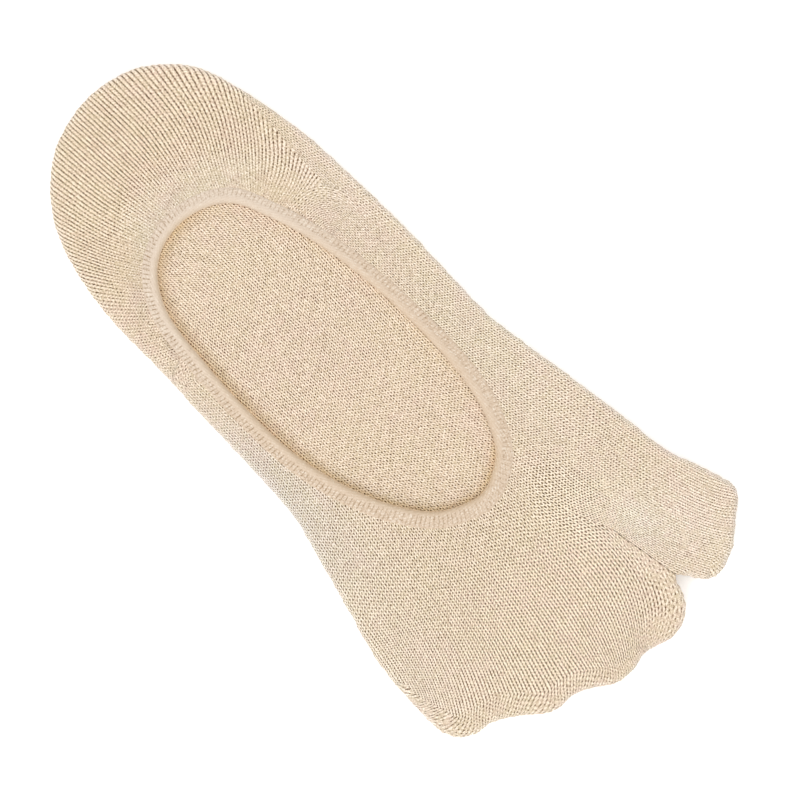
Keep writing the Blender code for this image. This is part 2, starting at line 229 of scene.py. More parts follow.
def catmull(points, steps):
    """Centripetal Catmull-Rom through open points."""
    pts = np.array(points, float)
    pts = np.vstack([2 * pts[0] - pts[1], pts, 2 * pts[-1] - pts[-2]])
    out = []
    for i in range(1, len(pts) - 2):
        p0, p1, p2, p3 = pts[i - 1:i + 3]
        t1 = max(np.linalg.norm(p1 - p0), 1e-6) ** 0.5
        t2 = t1 + max(np.linalg.norm(p2 - p1), 1e-6) ** 0.5
        t3 = t2 + max(np.linalg.norm(p3 - p2), 1e-6) ** 0.5
        t = (t1 + (t2 - t1) * np.arange(steps) / steps)[:, None]
        a1 = p0 * ((t1 - t) / t1) + p1 * (t / t1)
        a2 = p1 * ((t2 - t) / (t2 - t1)) + p2 * ((t - t1) / (t2 - t1))
        a3 = p2 * ((t3 - t) / (t3 - t2)) + p3 * ((t - t2) / (t3 - t2))
        b1 = a1 * ((t2 - t) / t2) + a2 * (t / t2)
        b2 = a2 * ((t3 - t) / (t3 - t1)) + a3 * ((t - t1) / (t3 - t1))
        out.append(b1 * ((t2 - t) / (t2 - t1)) + b2 * ((t - t1) / (t2 - t1)))
    out.append(pts[-2:-1])
    return np.vstack(out)


def arc(cx, cy, r, first, last, n):
    a = np.radians(first + (last - first) * np.arange(n) / (n - 1))
    return np.stack([cx + r * np.cos(a), cy + r * np.sin(a)], 1)


def outline(k):
    """The flat outline, anticlockwise; k = 1 gives the CAD's own points, more gives a finer curve."""
    rows = [r for r in SECTIONS if r[1] <= LAST_SIDE]
    little = [(r[1], r[2]) for r in rows]
    big = [(r[1], r[3]) for r in rows]
    lobes = [arc(*row[1:6], (row[6] - 1) * k + 1) for row in POUCH_LOBES]
    corners = [arc(*row[1:6], (row[6] - 1) * k + 1) for row in BIG_TOE_CORNERS]
    run = catmull([tuple(lobes[0][0])] + little[::-1] + big[1:]
                  + [BIG_TOE_SIDE[0][1:], tuple(corners[1][-1])], 2 * k)
    heel = int(run[:, 0].argmin())
    path = [run[:heel + 1][::-1][:-1]]
    for i, lobe in enumerate(lobes):
        path.append(lobe)
        if i + 1 < len(lobes):
            a, b = lobe[-1], lobes[i + 1][0]
            chord = b - a
            size = np.linalg.norm(chord)
            inward = np.array((-chord[1], chord[0])) / size
            path.append(((a + b) / 2 + inward * min(0.5, 0.12 * size))[None])
    half = SLIT_GAP / 2
    slit = catmull([row[1:] for row in SLIT], 3 * k)
    way = np.gradient(slit, axis=0)
    way /= np.linalg.norm(way, axis=1)[:, None]
    side = np.stack([-way[:, 1], way[:, 0]], 1)
    path.append(slit + side * half)
    turn = np.radians(np.arange(1, 4 * k) * 45.0 / k)[:, None]
    path.append(slit[-1] + (side[-1] * np.cos(turn) + way[-1] * np.sin(turn)) * half)
    path.append((slit - side * half)[::-1])
    path += [corners[0], np.array([BIG_TOE_END[0][1:]]), corners[1], run[heel:][::-1][1:]]
    path = np.vstack(path)
    keep = [0]
    for i in range(1, len(path)):
        if np.linalg.norm(path[i] - path[keep[-1]]) > 0.15 / k:
            keep.append(i)
    return path[keep]


def along(loop, closed=True):
    """Distance along a line to each of its points; a closed one gets its length last."""
    nxt = np.roll(loop, -1, 0) if closed else loop[1:]
    seg = np.linalg.norm(nxt - loop[:len(nxt)], axis=1)
    return np.concatenate([[0], np.cumsum(seg)])


def resampled(loop, step, closed=True):
    d = along(loop, closed)
    pts = np.vstack([loop, loop[:1]]) if closed else loop
    n = int(round(d[-1] / step))
    t = np.arange(n) * d[-1] / n if closed else np.linspace(0, d[-1], n + 1)
    return np.stack([np.interp(t, d, pts[:, 0]), np.interp(t, d, pts[:, 1])], 1)


def blurred(values, sigma):
    """Values round a closed loop, smoothed by a Gaussian of sigma samples."""
    n = len(values)
    f = np.fft.fftfreq(n)
    g = np.exp(-2 * (np.pi * f * sigma) ** 2)
    shape = (n,) + (1,) * (values.ndim - 1)
    return np.real(np.fft.ifft(np.fft.fft(values, axis=0) * g.reshape(shape), axis=0))


def normals(loop):
    """Inward unit normals of an anticlockwise loop."""
    t = np.roll(loop, -1, 0) - np.roll(loop, 1, 0)
    t /= np.maximum(np.linalg.norm(t, axis=1), 1e-12)[:, None]
    return np.stack([-t[:, 1], t[:, 0]], 1)


def inside(loop, p):
    """Which of the points p are inside a closed loop."""
    order = np.argsort(p[:, 1], kind="stable")
    ys, xs = p[order, 1], p[order, 0]
    odd = np.zeros(len(p), bool)
    a, b = loop, np.roll(loop, -1, 0)
    for (ax, ay), (bx, by) in zip(a, b):
        if ay == by:
            continue
        lo, hi = (ay, by) if ay < by else (by, ay)
        i, j = np.searchsorted(ys, lo, "left"), np.searchsorted(ys, hi, "left")
        if i < j:
            x = ax + (ys[i:j] - ay) * (bx - ax) / (by - ay)
            odd[i:j] ^= xs[i:j] < x
    out = np.zeros(len(p), bool)
    out[order] = odd
    return out


def tree_of(points):
    tree = KDTree(len(points))
    for i, p in enumerate(points):
        tree.insert((p[0], p[1], 0.0), i)
    tree.balance()
    return tree


def nearest(tree, points):
    found = [tree.find((p[0], p[1], 0.0)) for p in points]
    return np.array([f[1] for f in found]), np.array([f[2] for f in found])


def distance_field(loop, step=1.0):
    lo, hi = loop.min(0) - 3, loop.max(0) + 3
    nx, ny = int((hi[0] - lo[0]) / step) + 2, int((hi[1] - lo[1]) / step) + 2
    gx, gy = lo[0] + np.arange(nx) * step, lo[1] + np.arange(ny) * step
    a = loop[::4]
    grid = np.stack(np.meshgrid(gx, gy, indexing="ij"), -1).reshape(-1, 2)
    best = np.full(len(grid), 1e9)
    for part in np.array_split(a, 12):
        d = ((grid[:, None, :] - part[None]) ** 2).sum(2).min(1)
        best = np.minimum(best, d)
    best = np.sqrt(best).reshape(nx, ny)

    def look(p):
        x, y = (p[:, 0] - lo[0]) / step, (p[:, 1] - lo[1]) / step
        i, j = np.clip(x.astype(int), 0, nx - 2), np.clip(y.astype(int), 0, ny - 2)
        fx, fy = x - i, y - j
        return (best[i, j] * (1 - fx) * (1 - fy) + best[i + 1, j] * fx * (1 - fy)
                + best[i, j + 1] * (1 - fx) * fy + best[i + 1, j + 1] * fx * fy)
    return look


# ------------------------------------------------------------ families of wales
def spline_across(u, values, at):
    """Natural cubic spline through values (one row for each u), read at many u."""
    n = len(u)
    h = np.diff(u)
    m = np.zeros((n, n))
    r = np.zeros((n, values.shape[1]))
    m[0, 0] = m[-1, -1] = 1
    for i in range(1, n - 1):
        m[i, i - 1], m[i, i], m[i, i + 1] = h[i - 1], 2 * (h[i - 1] + h[i]), h[i]
        r[i] = 6 * ((values[i + 1] - values[i]) / h[i] - (values[i] - values[i - 1]) / h[i - 1])
    c = np.linalg.solve(m, r)
    k = np.clip(np.searchsorted(u, at, "right") - 1, 0, n - 2)
    a, b = (u[k + 1] - at) / h[k], (at - u[k]) / h[k]
    hk = h[k][:, None]
    a, b = a[:, None], b[:, None]
    return (a * values[k] + b * values[k + 1]
            + ((a ** 3 - a) * c[k] + (b ** 3 - b) * c[k + 1]) * hk ** 2 / 6)


class Family:
    """Wales that run side by side.  The rows cross them at right angles, starting from wale 0."""

    def __init__(self, guides, courses, ref_wale=0.0, follow=None, reach=8.0, samples=260, step=0.5):
        paths, us = [], []
        for u, *points in guides:
            p = catmull(points, 12)
            a, b = p[0] - p[1], p[-1] - p[-2]
            p = np.vstack([p[0] + a / np.linalg.norm(a) * reach, p,
                           p[-1] + b / np.linalg.norm(b) * reach])
            d = along(p, False)
            t = np.linspace(0, d[-1], samples)
            paths.append(np.concatenate([np.interp(t, d, p[:, 0]), np.interp(t, d, p[:, 1])]))
            us.append(u)
        us = np.array(us)
        self.u = np.arange(round(us[0] / step), round(us[-1] / step) + 1) * step
        flat = spline_across(us, np.array(paths), self.u)
        lines = np.stack([flat[:, :samples], flat[:, samples:]], 2)
        ref = int(np.argmin(abs(self.u - ref_wale)))
        line = lines[ref]
        d = along(line, False)
        row = np.interp(line[:, 0], [c[0] for c in courses], [c[1] for c in courses])
        v_line = np.concatenate([[0], np.cumsum(np.diff(d) / ((row[1:] + row[:-1]) / 2))])
        if follow is not None:                        # same rows as another family, as far as they run together
            other, last = follow
            shared = line[:, 0] < last
            v_line = v_line - v_line[shared][-1] + other.number(line[shared][-1:])[1][0]
            v_line[shared] = other.number(line[shared])[1]
        self.v = np.arange(math.ceil(v_line[0] * 2), math.floor(v_line[-1] * 2) + 1) / 2
        marks = np.interp(self.v, v_line, d)
        w0 = np.interp(marks, d, np.arange(samples))
        grid = np.zeros((len(self.u), len(marks), 2))
        grid[ref] = self.read(lines[ref], w0)
        for way in (1, -1):
            w = w0.copy()
            i = ref
            while 0 <= i + way < len(self.u):
                p = self.read(lines[i], w)
                i += way
                for _ in range(2):
                    q = self.read(lines[i], w)
                    t = self.read(lines[i], w + 0.5) - self.read(lines[i], w - 0.5)
                    w = w + ((p - q) * t).sum(1) / np.maximum((t * t).sum(1), 1e-9)
                grid[i] = self.read(lines[i], w)
        self.grid = grid
        self.step = step
        self.coarse = grid[::2, ::2].reshape(-1, 2)
        self.shape = grid[::2, ::2].shape[:2]
        self.tree = tree_of(self.coarse)

    @staticmethod
    def read(line, w):
        n = len(line)
        c = np.clip(w, 0, n - 1)
        k = np.arange(n)
        out = np.stack([np.interp(c, k, line[:, 0]), np.interp(c, k, line[:, 1])], 1)
        low, high = line[1] - line[0], line[-1] - line[-2]
        out += np.minimum(w, 0)[:, None] * low + np.maximum(w - (n - 1), 0)[:, None] * high
        return out

    def at(self, i, j):
        """Place of a fractional node of the grid."""
        nu, nv = self.grid.shape[:2]
        a, b = np.clip(np.floor(i).astype(int), 0, nu - 2), np.clip(np.floor(j).astype(int), 0, nv - 2)
        fi, fj = (i - a)[:, None], (j - b)[:, None]
        g = self.grid
        p = (g[a, b] * (1 - fi) * (1 - fj) + g[a + 1, b] * fi * (1 - fj)
             + g[a, b + 1] * (1 - fi) * fj + g[a + 1, b + 1] * fi * fj)
        du = (g[a + 1, b] - g[a, b]) * (1 - fj) + (g[a + 1, b + 1] - g[a, b + 1]) * fj
        dv = (g[a, b + 1] - g[a, b]) * (1 - fi) + (g[a + 1, b + 1] - g[a + 1, b]) * fi
        return p, du, dv

    def number(self, p):
        """Wale and row number at points in plan."""
        k, _ = nearest(self.tree, p)
        i, j = (k // self.shape[1]) * 2.0, (k % self.shape[1]) * 2.0
        for _ in range(4):
            q, du, dv = self.at(i, j)
            e = p - q
            det = du[:, 0] * dv[:, 1] - du[:, 1] * dv[:, 0]
            det = np.where(abs(det) < 1e-6, 1e-6, det)
            di = (e[:, 0] * dv[:, 1] - e[:, 1] * dv[:, 0]) / det
            dj = (du[:, 0] * e[:, 1] - du[:, 1] * e[:, 0]) / det
            i, j = i + np.clip(di, -4, 4), j + np.clip(dj, -4, 4)
        return self.u[0] + i * self.step, self.v[0] + j * 0.5

    def nodes(self, first, last, finer=1):
        """Grid nodes between two wales: places, wale numbers, row numbers.  finer = 2: twice the wales, half the rows."""
        keep = (self.u >= first) & (self.u <= last)
        u, g = self.u[keep], self.grid[keep]
        if finer == 2:
            g2 = np.empty((2 * len(u) - 1, g.shape[1], 2))
            g2[::2], g2[1::2] = g, (g[1:] + g[:-1]) / 2
            u2 = np.empty(2 * len(u) - 1)
            u2[::2], u2[1::2] = u, (u[1:] + u[:-1]) / 2
            g, u = g2[:, ::2], u2
        uu, vv = np.meshgrid(u, self.v[::finer], indexing="ij")
        return g.reshape(-1, 2), uu.ravel(), vv.ravel()


def heel_guides():
    return [(r[0], (r[1], r[2]), (r[3], r[4]), (r[5], r[6])) for r in HEEL_RIBS]


class Turn:
    """Wales that turn a corner from the side strip down to the welt."""

    def __init__(self, row, front):
        self.name, self.ps, self.py, self.way, self.last, self.long = row
        line = np.array([(self.ps, self.py + self.way * r) for r in np.linspace(0, self.last + 3, 40)])
        self.u_line, v = front(line)
        self.r_line = np.linspace(0, self.last + 3, 40)
        self.v0 = float(np.median(v))

    def polar(self, p):
        x, y = (self.ps - p[:, 0]) / self.long, (p[:, 1] - self.py) * self.way
        x, y = np.maximum(x, 0), np.maximum(y, 0)
        r = (x ** 2.4 + y ** 2.4) ** (1 / 2.4)
        return r, np.arctan2(x, np.maximum(y, 1e-6))

    def holds(self, p):
        r, _ = self.polar(p)
        return (p[:, 0] < self.ps) & ((p[:, 1] - self.py) * self.way > -3) & (r < self.last) & (abs(p[:, 1] - self.py) < 18)

    def number(self, p):
        r, a = self.polar(p)
        u = np.interp(r, self.r_line, self.u_line)
        below = np.minimum((p[:, 1] - self.py) * self.way, 0)       # straight on, under the pivot
        v = self.v0 - a * 0.62 * self.last + below
        return u, v

    def nodes(self):
        us = np.arange(math.ceil(min(self.u_line) * 2), math.floor(max(self.u_line) * 2) + 1) / 2
        order = np.argsort(self.u_line)
        r = np.interp(us, self.u_line[order], self.r_line[order])
        n = int(0.62 * self.last * math.pi / 2 / 0.5)
        vs = self.v0 - np.arange(1, n + 1) * 0.5
        a = (self.v0 - vs) / (0.62 * self.last)
        keep = a <= math.pi / 2
        a, vs = a[keep], vs[keep]
        rr, aa = np.meshgrid(r, a, indexing="ij")
        uu, vv = np.meshgrid(us, vs, indexing="ij")
        c, s = np.cos(aa), np.sin(aa)
        k = rr / (c ** 2.4 + s ** 2.4) ** (1 / 2.4)
        p = np.stack([self.ps - self.long * k * s, self.py + self.way * k * c], -1)
        far = (rr > 1.2)
        return p[far], uu[far], vv[far]


# ------------------------------------------------------------ the plan of a foot cover
COARSE = outline(1)
MID = ((COARSE[:, 0].min() + COARSE[:, 0].max()) / 2, (COARSE[:, 1].min() + COARSE[:, 1].max()) / 2)
SCALE_X = LENGTH / (COARSE[:, 0].max() - COARSE[:, 0].min())

EDGE = resampled(outline(8), 0.05)
_n = len(EDGE)
_lobes = (EDGE[:, 0] > 174) & (EDGE[:, 1] < 15)
_soft = blurred(_lobes.astype(float), 20)[:, None]
EDGE = EDGE * (1 - _soft) + blurred(EDGE, 16) * _soft
EDGE_N = normals(EDGE)
EDGE_N = blurred(EDGE_N, 14)
EDGE_N /= np.linalg.norm(EDGE_N, axis=1)[:, None]
WIDE_N = blurred(EDGE_N, 50)
WIDE_N /= np.linalg.norm(WIDE_N, axis=1)[:, None]
# the two sides of the slit lie against each other, and their folds are tight
_slit = catmull([row[1:] for row in SLIT], 30)
_off = np.sqrt(((EDGE[:, None, :] - _slit[None]) ** 2).sum(2).min(1))
_slitness = blurred(step01((1.9 - _off) / 1.2), 16)
_shut = _slitness * step01((195.6 - EDGE[:, 0]) / 1.8) * (_off < 0.6)
EDGE = EDGE - EDGE_N * ((SLIT_GAP / 2 + 0.04) * np.clip(blurred(_shut, 6), 0, 1))[:, None]
EDGE_SQUASH = np.clip(0.62 - 0.6 * _slitness, 0.045, 0.62)
# the silhouette is a row of loops, a little uneven
_t = along(EDGE)[:-1]
EDGE = EDGE + EDGE_N * ((1 - _slitness) * (0.05 * np.sin(_t / 0.43 + 2 * np.sin(_t / 5.1))
                                           + 0.05 * np.sin(_t / 0.97 + 3 * np.sin(_t / 11.0))))[:, None]

_ring = [(r[1], r[2]) for r in MOUTH] + [(r[1], r[3]) for r in MOUTH][1:-1][::-1]
_k = 40
MOUTH_EDGE = catmull(_ring[-2:] + _ring + _ring[:2], _k)[2 * _k:(2 + len(_ring)) * _k]
MOUTH_EDGE = resampled(MOUTH_EDGE, 0.1)
if ((MOUTH_EDGE * np.roll(MOUTH_EDGE[:, ::-1], -1, 0) * [1, -1]).sum()) < 0:
    MOUTH_EDGE = MOUTH_EDGE[::-1]
MOUTH_N = blurred(normals(MOUTH_EDGE), 8)
MOUTH_N /= np.linalg.norm(MOUTH_N, axis=1)[:, None]

HEEL = Family(heel_guides(), ((0.0, HEEL_COURSE), (60.0, HEEL_COURSE)))
POUCH = Family(POUCH_WALES, FRONT_COURSES, ref_wale=-32.0)
TOE = Family(BIG_TOE_WALES, FRONT_COURSES, follow=(POUCH, 156.0))


def big_side(p):
    """Which points in plan are on the big toe's side of the split."""
    return p[:, 1] > np.interp(p[:, 0], [r[0] for r in SPLIT], [r[1] for r in SPLIT])


def front_straight(p, big=None):
    """Wale and row numbers of the front, past the heel pocket."""
    if big is None:
        big = big_side(p)
    u, v = POUCH.number(p)
    u2, v2 = TOE.number(p)
    return np.where(big, u2, u), np.where(big, v2, v)


TURN = [Turn(row, front_straight) for row in TURNS]


def front_number(p, big=None):
    u, v = front_straight(p, big)
    for turn in TURN:
        h = turn.holds(p)
        if h.any():
            u[h], v[h] = turn.number(p[h])
    return u, v


def sole_number(p):
    s = np.linspace(0, 210, 400)
    width = np.interp(s, [r[0] for r in SOLE_GRAIN], [r[1] for r in SOLE_GRAIN])
    row = np.interp(s, [r[0] for r in SOLE_GRAIN], [r[2] for r in SOLE_GRAIN])
    rows = np.concatenate([[0], np.cumsum((s[1] - s[0]) / row[1:])])
    return p[:, 1] / np.interp(p[:, 0], s, width), np.interp(p[:, 0], s, rows)


DISTANCE = distance_field(EDGE)
MOUTH_DISTANCE = distance_field(MOUTH_EDGE)


def loft(p):
    s = p[:, 0]
    rows_s = np.array([r[1] for r in SECTIONS])
    rows_l = np.array([r[4] for r in SECTIONS])
    k = np.clip(np.searchsorted(rows_s, s, "right") - 1, 0, len(rows_s) - 2)
    t = step01((s - rows_s[k]) / (rows_s[k + 1] - rows_s[k]))
    up = rows_l[k] + (rows_l[k + 1] - rows_l[k]) * t
    up = up * step01((DISTANCE(p) - OUT_R) / LOFT_REACH)
    for _, s0, y0, s1, y1, depth, wide in CREASES:
        a, ab = np.array((s0, y0)), np.array((s1 - s0, y1 - y0))
        t = np.clip(((p - a) @ ab) / (ab @ ab), 0, 1)
        away = np.linalg.norm(p - a - t[:, None] * ab, axis=1)
        up = up - depth * step01(1 - away / wide) * (1 - 0.7 * t)
    return up


def look_at(p, heel):
    """The look at points in plan: a row of LOOK's numbers each, blended between regions."""
    rim = MOUTH_DISTANCE(p) - WELT_WIDTH
    s, y = p[:, 0], p[:, 1]
    rows = {k: np.array(v) for k, v in LOOK.items()}

    def blend(a, b, t):
        t = t[:, None]
        return a * (1 - t) + b * t
    heel_look = blend(rows["heel"], rows["welted"], step01(1 - (rim - 0.5) / 11.0))
    heel_look = blend(heel_look, rows["little side"], 0.85 * step01((s - 32) / 14) * step01((-17 - y) / 9))
    past = step01((s - 80) / 20)
    little = blend(rows["little side"], rows["instep"], past)
    little = blend(little, rows["ball"], step01((s - 122) / 34))
    little = blend(little, rows["pouch"], step01((s - 162) / 18))
    big = blend(rows["side"], rows["big side"], past)
    big = blend(big, rows["arc"], step01(1.8 - 1.5 * np.hypot((s - 62.5) / 8.5, (y - 27.0) / 7.0)))
    big = blend(big, rows["toe"], step01((s - 160) / 20))
    split = np.interp(s, [r[0] for r in SPLIT], [r[1] for r in SPLIT])
    wide = np.interp(s, [140, 160, 174], [8.0, 4.0, 0.5])
    front = blend(little, big, step01((y - split + wide) / (2 * wide)))
    front = blend(front, rows["gathered"], 0.9 * step01(1.8 - 1.2 * np.hypot((s - 160.5) / 12, (y - 16.5) / 7.0)))
    front = blend(front, rows["crotch"], 0.9 * step01(1.9 - 1.5 * np.hypot((s - 174.5) / 8.5, (y - 23.0) / 5.0)))
    front = blend(front, rows["slit"], step01((s - 174) / 4) * step01(1 - abs(y - split + 1.1) / 2.6) * (y < split))
    front = blend(front, rows["corner"], step01(1.7 - 1.2 * np.hypot((s - 203.5) / 6.0, (y - 10.0) / 5.5)))
    near_edge = step01((6.5 - DISTANCE(p)) / 3.0) * step01((s - 184) / 6) * (y < split) * step01((y - 2) / 5)
    front = blend(front, rows["corner"], 0.85 * near_edge)
    return np.where(heel[:, None], heel_look, front)


# Soft differences of colour over the foot cover, in percent of red, green and blue: name, centre from the heel,
# centre across, reach along, reach across, red, green, blue
TINTS = (
    ("heel pocket",       18.0,   0.0, 30.0, 36.0, -0.8, -1.7, -2.8),
    ("big-toe side",     122.0,  31.0, 45.0, 14.0,  2.0,  3.4,  4.4),
    ("big toe",          190.0,  36.0, 17.0, 12.0,  2.8,  4.0,  6.2),
    ("little-toe side",  108.0, -38.0, 30.0, 13.0, -1.8,  1.6,  6.4),
    ("little toe",       166.0, -46.0, 18.0, 11.0,  0.9,  2.0,  3.4),
    ("above the slit",   163.0,  17.0, 12.0,  9.0,  3.6,  4.4,  4.4),
    ("by the crotch",    177.0,  25.5,  9.0,  6.0,  0.3,  2.8,  4.4),
    ("gore side",         59.0,  31.0, 16.0,  8.0,  1.9,  2.6,  4.8),
    ("heel side",         44.0, -29.0, 12.0,  8.0, -1.3, -1.4, -1.6),
)
# the same for: pale fuzz and painted light round the outline, painted light on the side away from the window, the heel
# next to the welt and around it, the sole, painted shade on the sole close under the welt, and painted light that the
# cotton passes on there and in the slit
FUZZ_AND_EDGE_LIGHT = np.array((4.5, 7.5, 12.5))
FAR_SIDE_LIGHT = np.array((3.0, 4.0, 4.5))
BY_WELT = np.array((-2.6, -2.2, -1.4))
HEEL_PALE_BY_WELT = np.array((0.8, 2.6, 4.4))
SOLE_TINT = np.array((0.8, 0.3, 0.3))
SOLE_SHADE = np.array((-6.5, -9.0, -14.0))
SOLE_GLOW = np.array((13.0, 12.0, 9.0))
SLIT_GLOW = np.array((4.0, 4.0, 4.0))


def shaded_side(p):
    """How much the welt shades the sole there: on the little-toe side, at the toe end, less at the heel end."""
    return np.maximum(np.maximum(step01((7 - p[:, 1]) / 12), step01((p[:, 0] - 134) / 6)), 0.0)


def percent(tint):
    """A change of the colour as it looks, in percent, to a factor of the cotton's own colour."""
    return np.maximum(1 + tint / 100, 0.05) ** 2.2


def panel_tint(p, n_y):
    s, y = p[:, 0], p[:, 1]
    out = np.zeros((len(p), 3))
    for _, s0, y0, rs, ry, *rgb in TINTS:
        out += np.exp(-((s - s0) / rs) ** 2 - ((y - y0) / ry) ** 2)[:, None] * np.array(rgb)
    line = catmull([row[1:] for row in SLIT], 12)
    off = np.full(len(p), 9.0)
    near = (s > 172) & (y > 14) & (y < 28)
    off[near] = np.sqrt(((p[near, None] - line[None]) ** 2).sum(2).min(1))
    # painted light round the rolled edge, with its pale fuzz, and more painted light where it faces away from the
    # window
    edge = np.exp(-DISTANCE(p) / 0.9) * step01((off - 0.8) / 2.0)
    out += edge[:, None] * (FUZZ_AND_EDGE_LIGHT + FAR_SIDE_LIGHT * np.clip(n_y, 0, 1)[:, None])
    rim = MOUTH_DISTANCE(p) - WELT_WIDTH
    out += (step01((4.6 - rim) / 2.5) * step01((58 - s) / 12) * (1 - 0.6 * step01((y - 2) / 8)))[:, None] * BY_WELT
    # paler and bluer on the heel around the welt
    out += (step01((12.0 - rim) / 7) * step01((50 - s) / 10) * step01((y + 20) / 9))[:, None] * HEEL_PALE_BY_WELT
    # painted light along the slit
    out += step01(1 - off / 1.1)[:, None] * SLIT_GLOW
    return percent(out)


def sole_tint(p, from_rim):
    shaded = shaded_side(p)
    reach = 3.3 - 1.1 * step01((p[:, 0] - 96) / 22) - 0.4 * np.exp(-((p[:, 0] - 126) / 10) ** 2) * (p[:, 1] < 0)
    # painted shade on the sole under the welt, and painted light close to its edge
    side = (step01(1.2 - from_rim / reach) * (0.08 + 0.92 * shaded))[:, None]
    glow = (step01(1 - from_rim / 1.2) * (0.2 + 0.8 * shaded))[:, None]
    return percent(SOLE_TINT + side * SOLE_SHADE + glow * SOLE_GLOW)


def sole_look(p):
    rows = [np.array(LOOK[k]) for k in ("sole heel", "sole", "sole toe")]
    a, b = step01((p[:, 0] - 50) / 16)[:, None], step01((p[:, 0] - 90) / 30)[:, None]
    return (rows[0] * (1 - a) + rows[1] * a) * (1 - b) + rows[2] * b


def relief(u, v, look):
    """How far the surface is pressed in at a point of the knit, in mm."""
    rib = 0.5 + 0.5 * np.cos(2 * np.pi * u)
    dot = 0.5 + 0.5 * np.cos(np.pi * u) * np.cos(2 * np.pi * v)
    return look[:, 0] * rib + look[:, 1] * dot * (0.35 + 0.65 * rib)


def band_width(p, n):
    """Width of the turned-over toe band at points on the outline; under 2 there is none."""
    s, y = p[:, 0], p[:, 1]
    pouch = np.interp(y, [-50, -44, -36, -20, -8, -2, 3, 6], [5.2, 5.8, 6.0, 5.4, 4.6, 3.6, 2.4, 0])
    pouch = np.where((s > 160) & (y < 18) & (n[:, 0] < 0.5), pouch, 0)
    pouch = pouch * (0.42 * step01((s - 160) / 4) + 0.58 * step01((s - 166) / 14))
    toe = np.where((y > 26) & (s > 186) & (n[:, 0] < -0.3), 3.4, 0) * step01((y - 26) / 3) * step01((49 - y) / 3)
    return np.maximum(pouch, toe)


# ------------------------------------------------------------ outline points, set on the ribs
def heel_part(t_big, t_little, n):
    """Which outline points belong to the heel pocket (from the side join round the heel to the gore)."""
    flag = np.zeros(n, bool)
    if t_little < t_big:
        flag[t_little:t_big + 1] = True
        flag = ~flag
        flag[[t_little, t_big]] = True
    else:
        flag[t_big:t_little + 1] = True
    return flag


def outline_points():
    big = int(np.argmin(((EDGE - np.array((GORE[0][0], 32.2))) ** 2).sum(1)))
    little = int(np.argmin(((EDGE - np.array(SIDE_JOIN[0])) ** 2).sum(1)))
    is_heel = heel_part(big, little, _n)
    sub = np.arange(0, _n, 2)
    p = EDGE[sub] + EDGE_N[sub] * 0.4
    wide = band_width(EDGE[sub], EDGE_N[sub])
    pb = EDGE[sub] + WIDE_N[sub] * np.maximum(wide, 0.4)[:, None]
    p = np.where(wide[:, None] > 2.0, pb, p)
    u = np.zeros(len(sub))
    v = np.zeros(len(sub))
    h = is_heel[sub]
    u[h], v[h] = HEEL.number(p[h])
    u[~h], v[~h] = front_number(p[~h])
    marks = [big, little]
    u2 = u * 2
    cross = np.nonzero(np.floor(u2) != np.floor(np.roll(u2, -1)))[0]
    for i in cross:
        j = (i + 1) % len(sub)
        du = u2[j] - u2[i]
        if abs(du) > 1.0 or abs(du) < 0.03:
            continue
        target = math.floor(max(u2[i], u2[j]))
        marks.append(int(sub[i] + 2 * (target - u2[i]) / du) % _n)
    marks = sorted(set(marks))
    kept = []
    for m in marks:
        if kept and (m - kept[-1]) * 0.05 < 0.2 and m not in (big, little):
            continue
        if kept and (m - kept[-1]) * 0.05 < 0.2 and kept[-1] not in (big, little):
            kept.pop()
        kept.append(m)
    full = []
    for a, b in zip(kept, kept[1:] + [kept[0] + _n]):
        curve = abs((EDGE_N[(a + b) // 2 % _n] * EDGE_N[a]).sum())
        most = 0.42 if curve > 0.995 else 0.2
        parts = max(1, math.ceil((b - a) * 0.05 / most))
        full += [int(round(a + (b - a) * k / parts)) for k in range(parts)]
    # close together round the end of the slit
    crotch = np.hypot(EDGE[:, 0] - SLIT[2][1], EDGE[:, 1] - SLIT[2][2]) < 0.9
    full = sorted(set([f % _n for f in full] + list(np.nonzero(crotch)[0][::3])))
    clean = [full[0]]
    for f in full[1:]:
        if f - clean[-1] >= 2 or f in (big, little):
            if f in (big, little) and f - clean[-1] < 2:
                clean.pop()
            clean.append(f)
    idx = np.array(clean)
    end = np.array((SLIT[2][1] - SLIT_GAP / 2, SLIT[2][2]))
    crotch = int(np.argmin(((EDGE[idx] - end) ** 2).sum(1)))
    return idx, int(np.nonzero(idx == big)[0][0]), int(np.nonzero(idx == little)[0][0]), crotch


IDX, BIG_JOIN, LITTLE_JOIN, CROTCH = outline_points()
RIM_LOOP = EDGE[IDX]
N_OUT = EDGE_N[IDX]
N_WIDE = WIDE_N[IDX]
BAND = band_width(RIM_LOOP, N_OUT)
NP = len(IDX)
OUTLINE_HEEL = heel_part(BIG_JOIN, LITTLE_JOIN, NP)
OUTLINE_BIG = (np.arange(NP) >= CROTCH) & ~OUTLINE_HEEL
SQUASH = EDGE_SQUASH[IDX]
SLITNESS = _slitness[IDX]
SLANT = 0.55 * step01((20 - RIM_LOOP[:, 1]) / 4)             # the strokes of the toe band lean toward the little toe

# the hole in the upper panel, just inside the welt's outer edge
HOLE_AT = WELT_WIDTH - 0.15


def hole_loop(step):
    k = np.arange(0, len(MOUTH_EDGE), max(1, int(round(step / 0.1))))
    return (MOUTH_EDGE - MOUTH_N * HOLE_AT)[k]


HOLE = hole_loop(0.5)


def clear_of(points, walls, gap):
    """Which points are at least gap away from every wall point."""
    cell = 0.5
    key = lambda q: (np.floor(q[:, 0] / cell).astype(np.int64) + 2000) * 10000 + (np.floor(q[:, 1] / cell).astype(np.int64) + 2000)
    near_cells = set()
    for dx in (-cell, 0, cell):
        for dy in (-cell, 0, cell):
            near_cells.update(np.unique(key(walls + np.array((dx, dy)))).tolist())
    close = np.isin(key(points), np.array(sorted(near_cells)))
    ok = np.ones(len(points), bool)
    if close.any():
        tree = tree_of(walls)
        _, d = nearest(tree, points[close])
        ok[np.nonzero(close)[0][d < gap]] = False
    return ok


